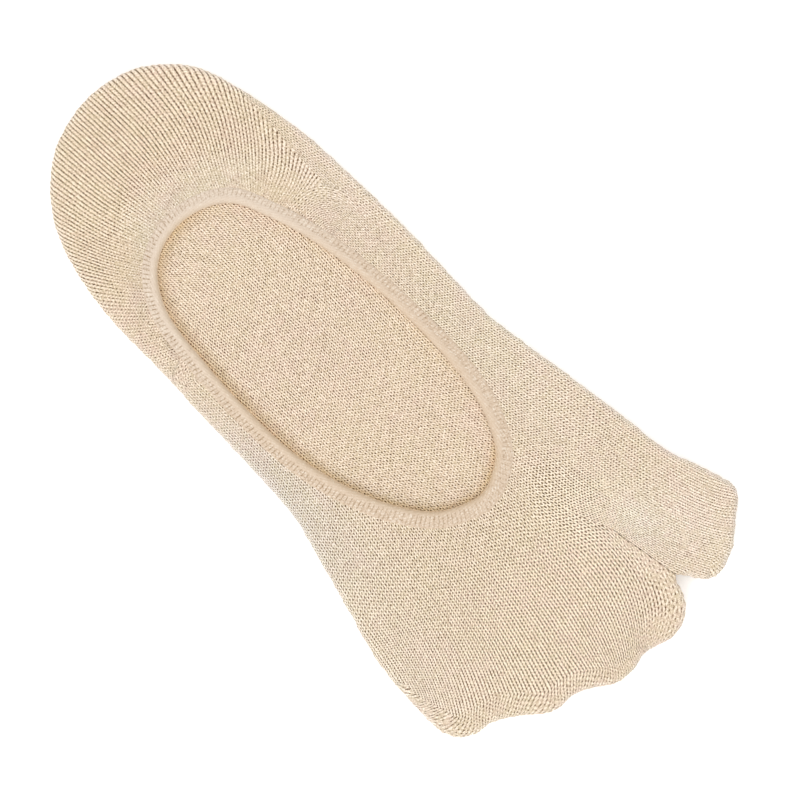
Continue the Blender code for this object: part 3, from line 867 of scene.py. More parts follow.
def fill(points, loops, lines):
    """Triangles over points; loops and lines are index lists kept as edges. Returns triangles of point numbers."""
    links = []
    for loop in loops:
        links += [(int(a), int(b)) for a, b in zip(loop, np.roll(loop, -1))]
    for line in lines:
        links += [(int(a), int(b)) for a, b in zip(line, line[1:])]
    verts, _, faces, origins, _, _ = delaunay_2d_cdt([tuple(p) for p in points.tolist()], links, [], 0, 1e-5)
    name = np.array([o[0] if o else -1 for o in origins])
    tri = np.array([f for f in faces if len(f) == 3])
    tri = name[tri]
    tri = tri[(tri >= 0).all(1)]
    a, b, c = points[tri[:, 0]], points[tri[:, 1]], points[tri[:, 2]]
    area = (b[:, 0] - a[:, 0]) * (c[:, 1] - a[:, 1]) - (b[:, 1] - a[:, 1]) * (c[:, 0] - a[:, 0])
    tri = tri[abs(area) > 1e-9]
    area = area[abs(area) > 1e-9]
    tri[area < 0] = tri[area < 0][:, ::-1]
    return tri


class Shell:
    """Points, triangles, and the knit's numbers at each corner of each triangle."""

    def __init__(self):
        self.p, self.z, self.n = [], [], 0
        self.up = []                                   # share of the loft each point takes
        self.push = []                                 # unit direction that relief presses in along (x, y, z)
        self.deep = []
        self.tone = []                                 # contrasts of the knit, for the material
        self.extra = []                                # dark marks and painted shade, toe band
        self.tint = []                                 # soft differences of colour, with painted light and shade
        self.tri, self.uv = [], []

    def points(self, p, z, up, push, deep, tone, extra=(0.0, 0.0), tint=(1.0, 1.0, 1.0)):
        k = len(p)
        self.tint.append(np.broadcast_to(np.asarray(tint, float), (k, 3)).copy())
        ids = np.arange(self.n, self.n + k)
        self.p.append(np.asarray(p, float))
        self.z.append(np.broadcast_to(np.asarray(z, float), (k,)).copy())
        self.up.append(np.broadcast_to(np.asarray(up, float), (k,)).copy())
        self.push.append(np.broadcast_to(np.asarray(push, float), (k, 3)).copy())
        self.deep.append(np.broadcast_to(np.asarray(deep, float), (k,)).copy())
        self.tone.append(np.broadcast_to(np.asarray(tone, float), (k, 4)).copy())
        self.extra.append(np.broadcast_to(np.asarray(extra, float), (k, 2)).copy())
        self.n += k
        return ids

    def faces(self, tri, uv):
        self.tri.append(np.asarray(tri))
        self.uv.append(np.asarray(uv, float))

    def strip(self, a, b, uva, uvb, closed=True, flip=False):
        """Two triangles between each pair of neighbours of two rings of points."""
        a2, b2 = np.roll(a, -1), np.roll(b, -1)
        ua2, ub2 = np.roll(uva, -1, 0), np.roll(uvb, -1, 0)
        m = len(a) if closed else len(a) - 1
        t1 = np.stack([a, a2, b2], 1)[:m]
        t2 = np.stack([a, b2, b], 1)[:m]
        u1 = np.stack([uva, ua2, ub2], 1)[:m]
        u2 = np.stack([uva, ub2, uvb], 1)[:m]
        if flip:
            t1, t2, u1, u2 = t1[:, ::-1], t2[:, ::-1], u1[:, ::-1], u2[:, ::-1]
        self.faces(np.concatenate([t1, t2]), np.concatenate([u1, u2]))

    def arrays(self):
        return (np.concatenate(self.p), np.concatenate(self.z), np.concatenate(self.up),
                np.concatenate(self.push), np.concatenate(self.deep), np.concatenate(self.tone),
                np.concatenate(self.extra), np.concatenate(self.tint), np.concatenate(self.tri), np.concatenate(self.uv))


def join_line(points, ring_point, hole_points):
    """The inner points of a joint line, from the edge of the panel to a point of the hole; returns them and the hole index."""
    fine = resampled(catmull(points, 10), 0.4, False)
    # stop where it meets the hole
    in_hole = inside(hole_points, fine)
    last = int(np.argmax(in_hole)) if in_hole.any() else len(fine)
    fine = fine[:last]
    start = np.linalg.norm(fine - ring_point, axis=1)
    fine = fine[(start > 0.35) & (DISTANCE(fine) > OUT_R)]
    k = int(np.argmin(((hole_points - fine[-1]) ** 2).sum(1)))
    fine = fine[np.linalg.norm(fine - hole_points[k], axis=1) > 0.3]
    return fine, k


def ring_numbers(p):
    """Wale and row numbers at points that belong to the outline's points, one each."""
    u, v = np.zeros(NP), np.zeros(NP)
    h = OUTLINE_HEEL
    u[h], v[h] = HEEL.number(p[h])
    u[~h], v[~h] = front_number(p[~h], OUTLINE_BIG[~h])
    return u, v


def slit_shadow(s):
    """How dark the painted shadow along the slit is, on the pouch side under the big toe's edge: broken, and darkest by
    the root of the toes.
    """
    broken = (0.6 + 0.5 * np.sin(s / 0.41 + 2.4 * np.sin(s / 1.7))) * (1.25 - 0.65 * step01((s - 181) / 8))
    return (broken + 0.7 * np.exp(-((s - 176.9) / 0.9) ** 2)) * step01((s - 175.4) / 1.0)


def make_shell():
    sh = Shell()
    band = BAND > 2.0
    end_inset = OUT_R * SQUASH                        # where the roll meets the flat panel
    stretch = OUT_R * (0.5 + 0.5 * SQUASH)            # mm along the cloth for each radian of the roll
    line_p = RIM_LOOP + N_WIDE * BAND[:, None]
    bu, bv = ring_numbers(np.where(band[:, None], line_p, RIM_LOOP + N_OUT * end_inset[:, None]))

    def roll(a, share):
        """A ring of points on the rolled edge, at angle a above (or below) its outermost line."""
        plan = RIM_LOOP + N_OUT * (end_inset * (1 - math.cos(a)))[:, None]
        inset = end_inset - (math.pi / 2 - a) * stretch
        u, v = ring_numbers(RIM_LOOP + N_OUT * inset[:, None])
        u = np.where(band, bu + SLANT * (BAND - inset) / 0.9, u)
        v = np.where(band, bv + (BAND - inset) / 0.9, v)
        look = look_at(plan, OUTLINE_HEEL)
        look = np.where(band[:, None], np.array(LOOK["band"]), look)
        push = np.stack([N_OUT[:, 0] * math.cos(a), N_OUT[:, 1] * math.cos(a), np.full(NP, -math.sin(a))], 1)
        press = relief(u, v, look) * share * np.clip(SQUASH / 0.4, 0.3, 1)
        under = SLITNESS * ~OUTLINE_BIG
        broken = slit_shadow(RIM_LOOP[:, 0])
        press = press + 0.10 * under * max(math.sin(a), 0)
        # painted shadow on the pouch side of the slit, under the big toe's edge
        extra = np.stack([2.6 * under * broken, band.astype(float)], 1)
        # painted light on the rolled edge, more where it faces away from the window
        tint = panel_tint(plan, -N_OUT[:, 1] * math.cos(a) ** 0.5)
        ids = sh.points(plan, OUT_R * math.sin(a), 0.0, push, press, look[:, 2:6], extra, tint)
        return ids, np.stack([u, v], 1)

    rings = [roll(math.pi / 2 * k / TOP_RINGS, 1.0) for k in range(TOP_RINGS + 1)]
    for (a, ua), (b, ub) in zip(rings, rings[1:]):
        sh.strip(a, b, ua, ub)
    low = [rings[0]] + [roll(-math.pi / 2 * k / LOW_RINGS, 1 - 0.5 * k / LOW_RINGS) for k in range(1, LOW_RINGS + 1)]
    for (a, ua), (b, ub) in zip(low, low[1:]):
        sh.strip(a, b, ua, ub, flip=True)

    # ---- the toe band: more rings, only where there is a band
    inner_ring, inner_uv = rings[-1][0].copy(), rings[-1][1].copy()
    inner_plan = RIM_LOOP + N_OUT * end_inset[:, None]
    ids = np.nonzero(band)[0]
    groups = np.split(ids, np.nonzero(np.diff(ids) > 1)[0] + 1)
    for g in groups:
        if len(g) < 8:
            continue
        prev, prev_uv = inner_ring[g], inner_uv[g]
        taper = np.minimum(1, np.minimum(np.arange(len(g)), np.arange(len(g))[::-1]) / 8.0)
        for k in range(1, 7):
            t = k / 6
            d = end_inset[g] + (BAND[g] - end_inset[g]) * t * taper
            way = N_OUT[g] * (1 - t) + N_WIDE[g] * t
            plan = RIM_LOOP[g] + way * d[:, None]
            u, v = bu[g] + SLANT[g] * (BAND[g] - d) / 0.9, bv[g] + (BAND[g] - d) / 0.9
            fade = 0.6 * step01(np.array([t]))[0]
            look = np.array(LOOK["band"]) * (1 - fade) + look_at(plan, np.zeros(len(g), bool)) * fade
            press = relief(u, v, look) - 0.12 * math.sin(math.pi * t) * taper
            extra = np.stack([np.zeros(len(g)), np.full(len(g), 1 - t * t)], 1)
            now = sh.points(plan[1:-1], OUT_R, 1.0, (0, 0, -1), press[1:-1], look[1:-1, 2:6], extra[1:-1],
                            panel_tint(plan[1:-1], np.zeros(len(g) - 2)))
            now = np.concatenate([prev[:1], now, prev[-1:]])
            uv = np.stack([u, v], 1)
            uv[0], uv[-1] = prev_uv[0], prev_uv[-1]
            a, b = prev, now
            t1 = np.stack([a[:-1], a[1:], b[1:]], 1)
            u1 = np.stack([prev_uv[:-1], prev_uv[1:], uv[1:]], 1)
            t2 = np.stack([a[:-1], b[1:], b[:-1]], 1)
            u2 = np.stack([prev_uv[:-1], uv[1:], uv[:-1]], 1)
            tt, uu = np.concatenate([t1, t2]), np.concatenate([u1, u2])
            good = (tt[:, 0] != tt[:, 1]) & (tt[:, 1] != tt[:, 2]) & (tt[:, 0] != tt[:, 2])
            sh.faces(tt[good], uu[good])
            prev, prev_uv = now, uv
            inner_plan[g[1:-1]] = plan[1:-1]
        inner_ring[g], inner_uv[g] = prev, prev_uv

    # ---- the upper panel
    ring_p = inner_plan
    m = len(HOLE)
    gore, gore_hole = join_line(GORE, ring_p[BIG_JOIN], HOLE)
    side, side_hole = join_line(SIDE_JOIN, ring_p[LITTLE_JOIN], HOLE)
    seam = resampled(catmull([r for r in SPLIT if 150 < r[0] < 175], 10), 0.4, False)
    seam = seam[(seam[:, 0] > 157.5) & (np.linalg.norm(seam - ring_p[CROTCH], axis=1) > 0.35)]
    seam = seam[inside(ring_p, seam)]
    n0 = NP + m
    gore_ids = np.concatenate([[BIG_JOIN], np.arange(n0, n0 + len(gore)), [NP + gore_hole]])
    n1 = n0 + len(gore)
    side_ids = np.concatenate([[LITTLE_JOIN], np.arange(n1, n1 + len(side)), [NP + side_hole]])
    n2 = n1 + len(side)
    seam_ids = np.concatenate([np.arange(n2, n2 + len(seam)), [CROTCH]])
    walls = np.vstack([ring_p, resampled(ring_p, 0.25), HOLE, resampled(HOLE, 0.25), gore, side, seam])

    def run(a, b, n, way):
        out = [a]
        while out[-1] != b:
            out.append((out[-1] + way) % n)
        return out
    # the heel pocket: from the gore round the heel to the little-toe side, and back along the hole
    heel_path = ring_p[run(BIG_JOIN, LITTLE_JOIN, NP, 1)]
    both = [run(side_hole, gore_hole, m, w) for w in (1, -1)]
    hole_heel = min(both, key=lambda r: HOLE[r][:, 0].mean())
    heel_poly = np.vstack([heel_path, side, HOLE[hole_heel], gore[::-1]])
    p, u, v = HEEL.nodes(-200, 200, finer=2)
    ok = inside(heel_poly, p)
    p, u, v = p[ok], u[ok], v[ok]
    ok = clear_of(p, walls, 0.14)
    heel_nodes = (p[ok], u[ok], v[ok])
    front = []
    for fam, is_toe in ((POUCH, False), (TOE, True)):
        p, u, v = fam.nodes(-200, 200)
        ok = (big_side(p) == is_toe) & inside(ring_p, p)
        p, u, v = p[ok], u[ok], v[ok]
        ok = ~inside(HOLE, p) & ~inside(heel_poly, p)
        for turn in TURN:
            ok &= ~turn.holds(p)
        front.append((p[ok], u[ok], v[ok]))
    for turn in TURN:
        p, u, v = turn.nodes()
        ok = inside(ring_p, p) & ~inside(HOLE, p) & ~inside(heel_poly, p) & turn.holds(p)
        front.append((p[ok], u[ok], v[ok]))
    fp, fu, fv = (np.concatenate([f[k] for f in front]) for k in range(3))
    ok = clear_of(fp, walls, 0.16)
    fp, fu, fv = fp[ok], fu[ok], fv[ok]
    # nodes of two families that nearly meet: keep one
    _, keep = np.unique(np.round(fp / 0.12).astype(int), axis=0, return_index=True)
    keep.sort()
    fp, fu, fv = fp[keep], fu[keep], fv[keep]
    pts = np.vstack([ring_p, HOLE, gore, side, seam, heel_nodes[0], fp])
    tri = fill(pts, [np.arange(NP), np.arange(NP, NP + m)], [gore_ids, side_ids, seam_ids])
    mid = pts[tri].mean(1)
    keep = inside(ring_p, mid) & ~inside(HOLE, mid)
    tri, mid = tri[keep], mid[keep]
    is_heel, is_big = inside(heel_poly, mid), big_side(mid)
    # the knit's numbers at every point, as each region counts them
    nh, nf = len(heel_nodes[0]), len(fp)
    nb = len(pts) - nh - nf                                  # ring, hole and joints
    numbers = {"heel": np.zeros((len(pts), 2)), "pouch": np.zeros((len(pts), 2))}
    numbers["heel"][:nb] = np.stack(HEEL.number(pts[:nb]), 1)
    numbers["heel"][nb:nb + nh] = np.stack(heel_nodes[1:], 1)
    side_flag = big_side(pts)
    side_flag[:NP] = OUTLINE_BIG
    own = np.zeros((len(pts), 2))
    own[:nb] = np.stack(front_number(pts[:nb], side_flag[:nb]), 1)
    own[:NP][~OUTLINE_HEEL] = inner_uv[~OUTLINE_HEEL]
    own[nb + nh:] = np.stack([fu, fv], 1)
    numbers["heel"][:NP][OUTLINE_HEEL] = inner_uv[OUTLINE_HEEL]
    numbers["pouch"], numbers["toe"] = own.copy(), own.copy()
    split = np.interp(pts[:, 0], [r[0] for r in SPLIT], [r[1] for r in SPLIT])
    near = (pts[:, 0] > 150) & (abs(pts[:, 1] - split) < 1.6)
    for name, fam, other in (("pouch", POUCH, side_flag), ("toe", TOE, ~side_flag)):
        k = near & other
        numbers[name][k] = np.stack(fam.number(pts[k]), 1)
    uv = np.where(is_heel[:, None, None], numbers["heel"][tri],
                  np.where(is_big[:, None, None], numbers["toe"][tri], numbers["pouch"][tri]))
    # relief and look of the panel's own points
    own_p = pts[NP:]
    own_heel = np.zeros(len(own_p), bool)
    own_heel[nb - NP:nb - NP + nh] = True
    own_heel[hole_heel] = True
    look = look_at(own_p, own_heel)
    num = np.where(own_heel[:, None], numbers["heel"][NP:], own[NP:])
    press = relief(num[:, 0], num[:, 1], look)
    press *= np.clip((MOUTH_DISTANCE(own_p) - WELT_WIDTH + 0.6) / 1.5, 0.25, 1)
    mark_and_shade = np.zeros(len(own_p))
    at = along(gore, False)
    for k in np.arange(0.8, at[-1], 2.4):                     # fashion marks along the gore
        spot = np.array([np.interp(k, at, gore[:, 0]), np.interp(k, at, gore[:, 1])]) - (0.15, 0.45)
        if spot[1] < 28.6:
            break
        mark_and_shade = np.maximum(mark_and_shade, step01(1 - np.linalg.norm(own_p - spot, axis=1) / 0.75))
    # the crotch tuck: pressed in, and darkened with painted shade in its crease
    tuck = np.array([(174.0, 18.9), (170.6, 16.9), (167.6, 15.6)])
    for a, b in zip(tuck, tuck[1:]):
        t = np.clip(((own_p - a) @ (b - a)) / ((b - a) @ (b - a)), 0, 1)
        away = np.linalg.norm(own_p - a - t[:, None] * (b - a), axis=1)
        mark_and_shade = np.maximum(mark_and_shade, 0.12 * step01(1 - away / 0.7))
    press = press + 0.12 * mark_and_shade
    line = catmull([row[1:] for row in SLIT], 12)
    near_slit = np.nonzero((own_p[:, 0] > 173) & (own_p[:, 1] < 23) & (own_p[:, 1] > 15))[0]
    away = np.sqrt(((own_p[near_slit, None] - line[None]) ** 2).sum(2).min(1))
    below = own_p[near_slit, 1] < np.interp(own_p[near_slit, 0], line[::-1, 0], line[::-1, 1])
    press[near_slit] += np.where(below, 0.10, -0.08) * step01(1 - away / 1.6)
    # painted shadow along the slit on the pouch side
    slit_shadow_mark = 1.0 * slit_shadow(own_p[near_slit, 0]) * step01(1 - away / 0.75) * below
    mark_and_shade[near_slit] = np.maximum(mark_and_shade[near_slit], slit_shadow_mark)
    extra = np.stack([mark_and_shade, np.zeros(len(own_p))], 1)
    ids = np.concatenate([inner_ring, sh.points(own_p, OUT_R, 1.0, (0, 0, -1), press, look[:, 2:6], extra,
                                             panel_tint(own_p, np.zeros(len(own_p))))])
    sh.faces(ids[tri], uv)
    hole_top = ids[NP:NP + m]
    hole_uv = own[NP:NP + m]

    # ---- sole, outside: plain, it lies against its pair
    ring = RIM_LOOP + N_OUT * end_inset[:, None]
    gx, gy = np.meshgrid(np.arange(4, 204, 4.0), np.arange(-48, 48, 4.0), indexing="ij")
    grid = np.stack([gx.ravel(), gy.ravel()], 1)
    grid = grid[inside(ring, grid)]
    grid = grid[DISTANCE(grid) > OUT_R + 2.0]
    pts = np.vstack([ring, grid])
    tri = fill(pts, [np.arange(NP)], [])
    tri = tri[inside(ring, pts[tri].mean(1))]
    su, sv = sole_number(pts)
    plain = (0.4, 0.4, 0.5, 0.3)
    ids = np.concatenate([low[-1][0], sh.points(grid, -OUT_R, 0.0, (0, 0, 1), 0.05, plain)])
    sh.faces(ids[tri][:, ::-1], np.stack([su[tri], sv[tri]], -1)[:, ::-1])

    # ---- inside: round the edge, the back of the upper panel, and the sole that shows
    ring = RIM_LOOP + N_OUT * OUT_R
    top_in = sh.points(ring, IN_R, 0.0, (0, 0, 1), 0.0, plain)
    mid_in = sh.points(RIM_LOOP + N_OUT * WALL, 0.0, 0.0, (0, 0, 1), 0.0, plain)
    low_in = sh.points(ring, -IN_R, 0.0, (0, 0, 1), 0.0, plain)
    su, sv = sole_number(ring)
    suv = np.stack([su, sv], 1)
    sh.strip(mid_in, top_in, suv, suv, flip=True)
    sh.strip(low_in, mid_in, suv, suv, flip=True)
    pts = np.vstack([ring, HOLE, grid[~inside(HOLE, grid) & (MOUTH_DISTANCE(grid) > WELT_WIDTH + 1.5)]])
    tri = fill(pts, [np.arange(NP), np.arange(NP, NP + m)], [])
    mid = pts[tri].mean(1)
    tri = tri[inside(ring, mid) & ~inside(HOLE, mid)]
    su, sv = sole_number(pts)
    ids = np.concatenate([top_in, sh.points(pts[NP:], IN_R, 1.0, (0, 0, 1), 0.0, plain)])
    sh.faces(ids[tri][:, ::-1], np.stack([su[tri], sv[tri]], -1)[:, ::-1])
    hole_low = ids[NP:NP + m]
    sh.strip(hole_low, hole_top, hole_uv, hole_uv, flip=True)
    # the sole's inner face, fine where the mouth shows it
    s_of = np.linspace(0, 210, 400)
    _, v_of = sole_number(np.stack([s_of, np.zeros(400)], 1))
    uu, vv = np.meshgrid(np.arange(-90, 91) * 0.5, np.arange(0, 300) * 1.0, indexing="ij")
    ss = np.interp(vv, v_of, s_of)
    yy = uu * np.interp(ss, [r[0] for r in SOLE_GRAIN], [r[1] for r in SOLE_GRAIN])
    fine = np.stack([ss.ravel(), yy.ravel()], 1)
    fu, fv = uu.ravel(), vv.ravel()
    shows = MOUTH_EDGE - MOUTH_N * 1.2
    ok = inside(shows, fine)
    fine, fu, fv = fine[ok], fu[ok], fv[ok]
    rest = grid[~inside(shows, grid) & (MOUTH_DISTANCE(grid) > 3.0)]
    pts = np.vstack([ring, fine, rest])
    tri = fill(pts, [np.arange(NP)], [])
    tri = tri[inside(ring, pts[tri].mean(1))]
    su, sv = sole_number(pts)
    look = sole_look(fine)
    ribs = look * (1, 0, 1, 1, 1, 1)                       # its stitches are bump, its ribs are shape
    wave = 0.10 * np.sin(fine[:, 0] / 7.0 + 1.1 * np.sin(fine[:, 1] / 9.0)) * step01(MOUTH_DISTANCE(fine) / 8)
    from_rim = np.full(len(fine), 9.0)
    edge = MOUTH_DISTANCE(fine) < 5
    _, from_rim[edge] = nearest(tree_of(MOUTH_EDGE[::3]), fine[edge])
    shade = 0.35 * shaded_side(fine) * step01((1.0 - from_rim) / 0.8)
    meets = 0.32 * step01(1 - from_rim / 2.4)                  # it comes up to the welt that lies on it
    a_ids = sh.points(fine, -IN_R + SOLE_LIFT + meets, 0.0, (0, 0, -1), relief(fu, fv, ribs) + 0.1 + wave, look[:, 2:6],
                      np.stack([shade, np.zeros(len(fine))], 1), sole_tint(fine, from_rim))
    b_ids = sh.points(rest, -IN_R, 0.0, (0, 0, -1), 0.1, plain)
    ids = np.concatenate([low_in, a_ids, b_ids])
    sh.faces(ids[tri], np.stack([su[tri], sv[tri]], -1))
    return sh


def to_mesh(name, xyz, tri, uv, tone, extra, tint, material):
    mesh = bpy.data.meshes.new(name)
    mesh.vertices.add(len(xyz))
    mesh.vertices.foreach_set("co", xyz.astype(np.float32).ravel())
    mesh.loops.add(len(tri) * 3)
    mesh.loops.foreach_set("vertex_index", tri.astype(np.int32).ravel())
    mesh.polygons.add(len(tri))
    mesh.polygons.foreach_set("loop_start", np.arange(0, len(tri) * 3, 3, dtype=np.int32))
    mesh.polygons.foreach_set("loop_total", np.full(len(tri), 3, np.int32))
    mesh.update(calc_edges=True)
    mesh.validate(clean_customdata=False)
    layer = mesh.uv_layers.new(name="knit")
    layer.data.foreach_set("uv", uv.astype(np.float32).reshape(-1, 2).ravel())
    att = mesh.color_attributes.new(name="tone", type="FLOAT_COLOR", domain="POINT")
    att.data.foreach_set("color", tone.astype(np.float32).ravel())
    att = mesh.color_attributes.new(name="extra", type="FLOAT_COLOR", domain="POINT")
    att.data.foreach_set("color", np.hstack([extra, np.zeros((len(extra), 2))]).astype(np.float32).ravel())
    att = mesh.color_attributes.new(name="tint", type="FLOAT_COLOR", domain="POINT")
    att.data.foreach_set("color", np.hstack([tint, np.ones((len(tint), 1))]).astype(np.float32).ravel())
    mesh.polygons.foreach_set("use_smooth", np.ones(len(tri), bool))
    mesh.materials.append(material)
    mesh.update()
    ob = bpy.data.objects.new(name, mesh)
    bpy.context.scene.collection.objects.link(ob)
    return ob


def metres(p, z):
    return np.stack([(p[:, 0] - MID[0]) * SCALE_X * 0.001, (p[:, 1] - MID[1]) * 0.001, z * 0.001], 1)


# ------------------------------------------------------------ materials
class Nodes:
    def __init__(self, name):
        self.material = bpy.data.materials.new(name)
        self.material.use_nodes = True
        self.tree = self.material.node_tree
        self.shader = self.tree.nodes["Principled BSDF"]

    def new(self, kind):
        return self.tree.nodes.new(kind)

    def put(self, value, socket):
        if isinstance(value, (int, float)):
            socket.default_value = value
        elif isinstance(value, tuple):
            socket.default_value = value
        else:
            self.tree.links.new(value, socket)

    def math(self, op, *args):
        node = self.new("ShaderNodeMath")
        node.operation = op
        for a, s in zip(args, node.inputs):
            self.put(a, s)
        return node.outputs[0]

    def mix(self, fac, a, b):
        node = self.new("ShaderNodeMix")
        node.data_type = "RGBA"
        self.put(fac, node.inputs[0])
        self.put(a, node.inputs[6])
        self.put(b, node.inputs[7])
        return node.outputs[2]

    def ramp(self, value, a, b):
        """0 below a, 1 above b, smooth between."""
        node = self.new("ShaderNodeMapRange")
        node.interpolation_type = "SMOOTHSTEP"
        self.put(value, node.inputs[0])
        node.inputs[1].default_value, node.inputs[2].default_value = a, b
        return node.outputs[0]

    def tinted(self, colour):
        """The colour times the mesh's own tint, which holds soft differences of colour and painted light and shade."""
        tint = self.new("ShaderNodeAttribute")
        tint.attribute_name = "tint"
        node = self.new("ShaderNodeMix")
        node.data_type = "RGBA"
        node.blend_type = "MULTIPLY"
        node.inputs[0].default_value = 1.0
        self.put(colour, node.inputs[6])
        self.put(tint.outputs["Color"], node.inputs[7])
        return node.outputs[2]

    def noise(self, vector, scale, detail=2.0, rough=0.5):
        node = self.new("ShaderNodeTexNoise")
        self.put(vector, node.inputs["Vector"])
        node.inputs["Scale"].default_value = scale
        node.inputs["Detail"].default_value = detail
        node.inputs["Roughness"].default_value = rough
        return node.outputs[0]


LIGHT = 1.33       # how bright a white card would be under the lamps; colours below are as they should look


def colour_of(r, g, b):
    """Cotton's own colour, from how it should look (0 to 255) under the lamps."""
    return tuple(((c / 255 + 0.055) / 1.055) ** 2.4 / LIGHT for c in (r, g, b)) + (1.0,)


BASE = colour_of(236, 213, 183)
# the gaps between stitches take painted shade, the crests of the yarns a painted highlight
KNIT_GAP_SHADE = colour_of(94, 57, 12)
LIT = colour_of(287, 269, 246)
PINK = colour_of(242, 212, 192)
STRAW = colour_of(235, 217, 178)


def knit_material(name):
    """Knitted cotton: ribs, staggered stitches between them, and slanting yarns."""
    n = Nodes(name)
    uv = n.new("ShaderNodeUVMap")
    uv.uv_map = "knit"
    sep = n.new("ShaderNodeSeparateXYZ")
    n.put(uv.outputs[0], sep.inputs[0])
    place = n.new("ShaderNodeTexCoord").outputs["Object"]
    tone = n.new("ShaderNodeAttribute")
    tone.attribute_name = "tone"
    parts = n.new("ShaderNodeSeparateColor")
    n.put(tone.outputs["Color"], parts.inputs[0])
    rib_w, dot_w, side = parts.outputs[0], parts.outputs[1], parts.outputs[2]
    stroke_w = tone.outputs["Alpha"]
    extra = n.new("ShaderNodeAttribute")
    extra.attribute_name = "extra"
    more = n.new("ShaderNodeSeparateColor")
    n.put(extra.outputs["Color"], more.inputs[0])
    mark_and_shade, band = more.outputs[0], more.outputs[1]
    # yarns wander a little, and more in the toe band
    w1 = n.math("SUBTRACT", n.noise(place, 420.0, 2.0), 0.5)
    w2 = n.math("SUBTRACT", n.noise(place, 530.0, 2.0), 0.5)
    wander = n.math("ADD", 1.0, n.math("MULTIPLY", band, 1.6))
    u = n.math("ADD", sep.outputs[0], n.math("MULTIPLY", n.math("MULTIPLY", w1, 0.24), wander))
    v = n.math("ADD", sep.outputs[1], n.math("MULTIPLY", n.math("MULTIPLY", w2, 0.50), wander))
    tau = 2 * math.pi

    def wave(x, of="COSINE"):
        return n.math(of, n.math("MULTIPLY", x, tau))
    rib = n.math("ADD", wave(u), n.math("MULTIPLY", wave(n.math("MULTIPLY", u, 2.0)), 0.42))
    half = n.math("MULTIPLY", u, 0.5)
    dots = n.math("ADD", n.math("MULTIPLY", wave(n.math("SUBTRACT", v, half)), 0.55),
                  n.math("MULTIPLY", wave(n.math("ADD", v, half)), 0.45))
    strokes = n.math("ADD", n.math("MULTIPLY", wave(n.math("ADD", v, u), "SINE"), side),
                     n.math("MULTIPLY", wave(n.math("SUBTRACT", v, u), "SINE"), n.math("SUBTRACT", 1.0, side)))
    # uneven stitches: each one its own tightness, and loose fibres over them
    cell = n.new("ShaderNodeCombineXYZ")
    n.put(sep.outputs[0], cell.inputs[0])
    n.put(sep.outputs[1], cell.inputs[1])
    uneven = n.math("ADD", -0.5, n.math("MULTIPLY", n.noise(cell.outputs[0], 1.35, 0.0), 3.0))
    uneven2 = n.math("ADD", 0.35, n.math("MULTIPLY", n.noise(place, 700.0, 2.0), 1.3))
    knit = n.math("ADD", n.math("MULTIPLY", n.math("MULTIPLY", rib, rib_w), uneven2),
                  n.math("MULTIPLY", n.math("MULTIPLY", dots, dot_w), uneven))
    knit = n.math("ADD", knit, n.math("MULTIPLY", strokes, stroke_w))
    coarse = n.math("SUBTRACT", n.noise(place, 2700.0, 1.0, 0.6), 0.5)
    fuzz = n.math("SUBTRACT", n.noise(place, 4300.0, 2.0, 0.6), 0.5)
    deep = n.math("ADD", knit, n.math("MULTIPLY", coarse, 4.2))
    deep = n.math("ADD", deep, n.math("MULTIPLY", fuzz, 1.6))
    # dark marks, and painted shade by the slit, in the crotch tuck and on the sole under the welt, pull the colour
    # toward the gaps
    deep = n.math("ADD", deep, n.math("MULTIPLY", mark_and_shade, 0.5))
    # painted shade where the knit lies deep, painted highlight where it stands up
    gap = n.ramp(deep, 0.40, 2.05)
    lit = n.ramp(n.math("MULTIPLY", deep, -1.0), -0.05, 1.15)
    drift = n.ramp(n.noise(place, 270.0, 3.0, 0.6), 0.40, 0.60)
    broad = n.ramp(n.noise(place, 60.0, 2.0), 0.35, 0.65)
    base = n.mix(n.math("MULTIPLY", drift, 0.60), BASE, PINK)
    base = n.mix(n.math("MULTIPLY", broad, 0.40), base, STRAW)
    colour = n.mix(n.math("MULTIPLY", lit, 0.95), base, LIT)
    colour = n.mix(gap, colour, KNIT_GAP_SHADE)
    n.put(n.tinted(colour), n.shader.inputs["Base Color"])
    n.shader.inputs["Roughness"].default_value = 0.92
    n.shader.inputs["Specular IOR Level"].default_value = 0.08
    n.shader.inputs["Sheen Weight"].default_value = 0.08
    n.shader.inputs["Sheen Roughness"].default_value = 0.6
    bump = n.new("ShaderNodeBump")
    bump.inputs["Strength"].default_value = 0.6
    bump.inputs["Distance"].default_value = 0.00012
    n.put(n.math("MULTIPLY", deep, -1.0), bump.inputs["Height"])
    n.put(bump.outputs[0], n.shader.inputs["Normal"])
    return n.material


RIM_TOE = colour_of(232, 209, 184)
RIM_HEEL = colour_of(238, 219, 199)
RIM_LIT = colour_of(254, 240, 222)
# the welt's darkest colour: for its mottling, and painted shade in the grooves between its short ribs
RIM_DARK_AND_GROOVE_SHADE = colour_of(168, 138, 104)


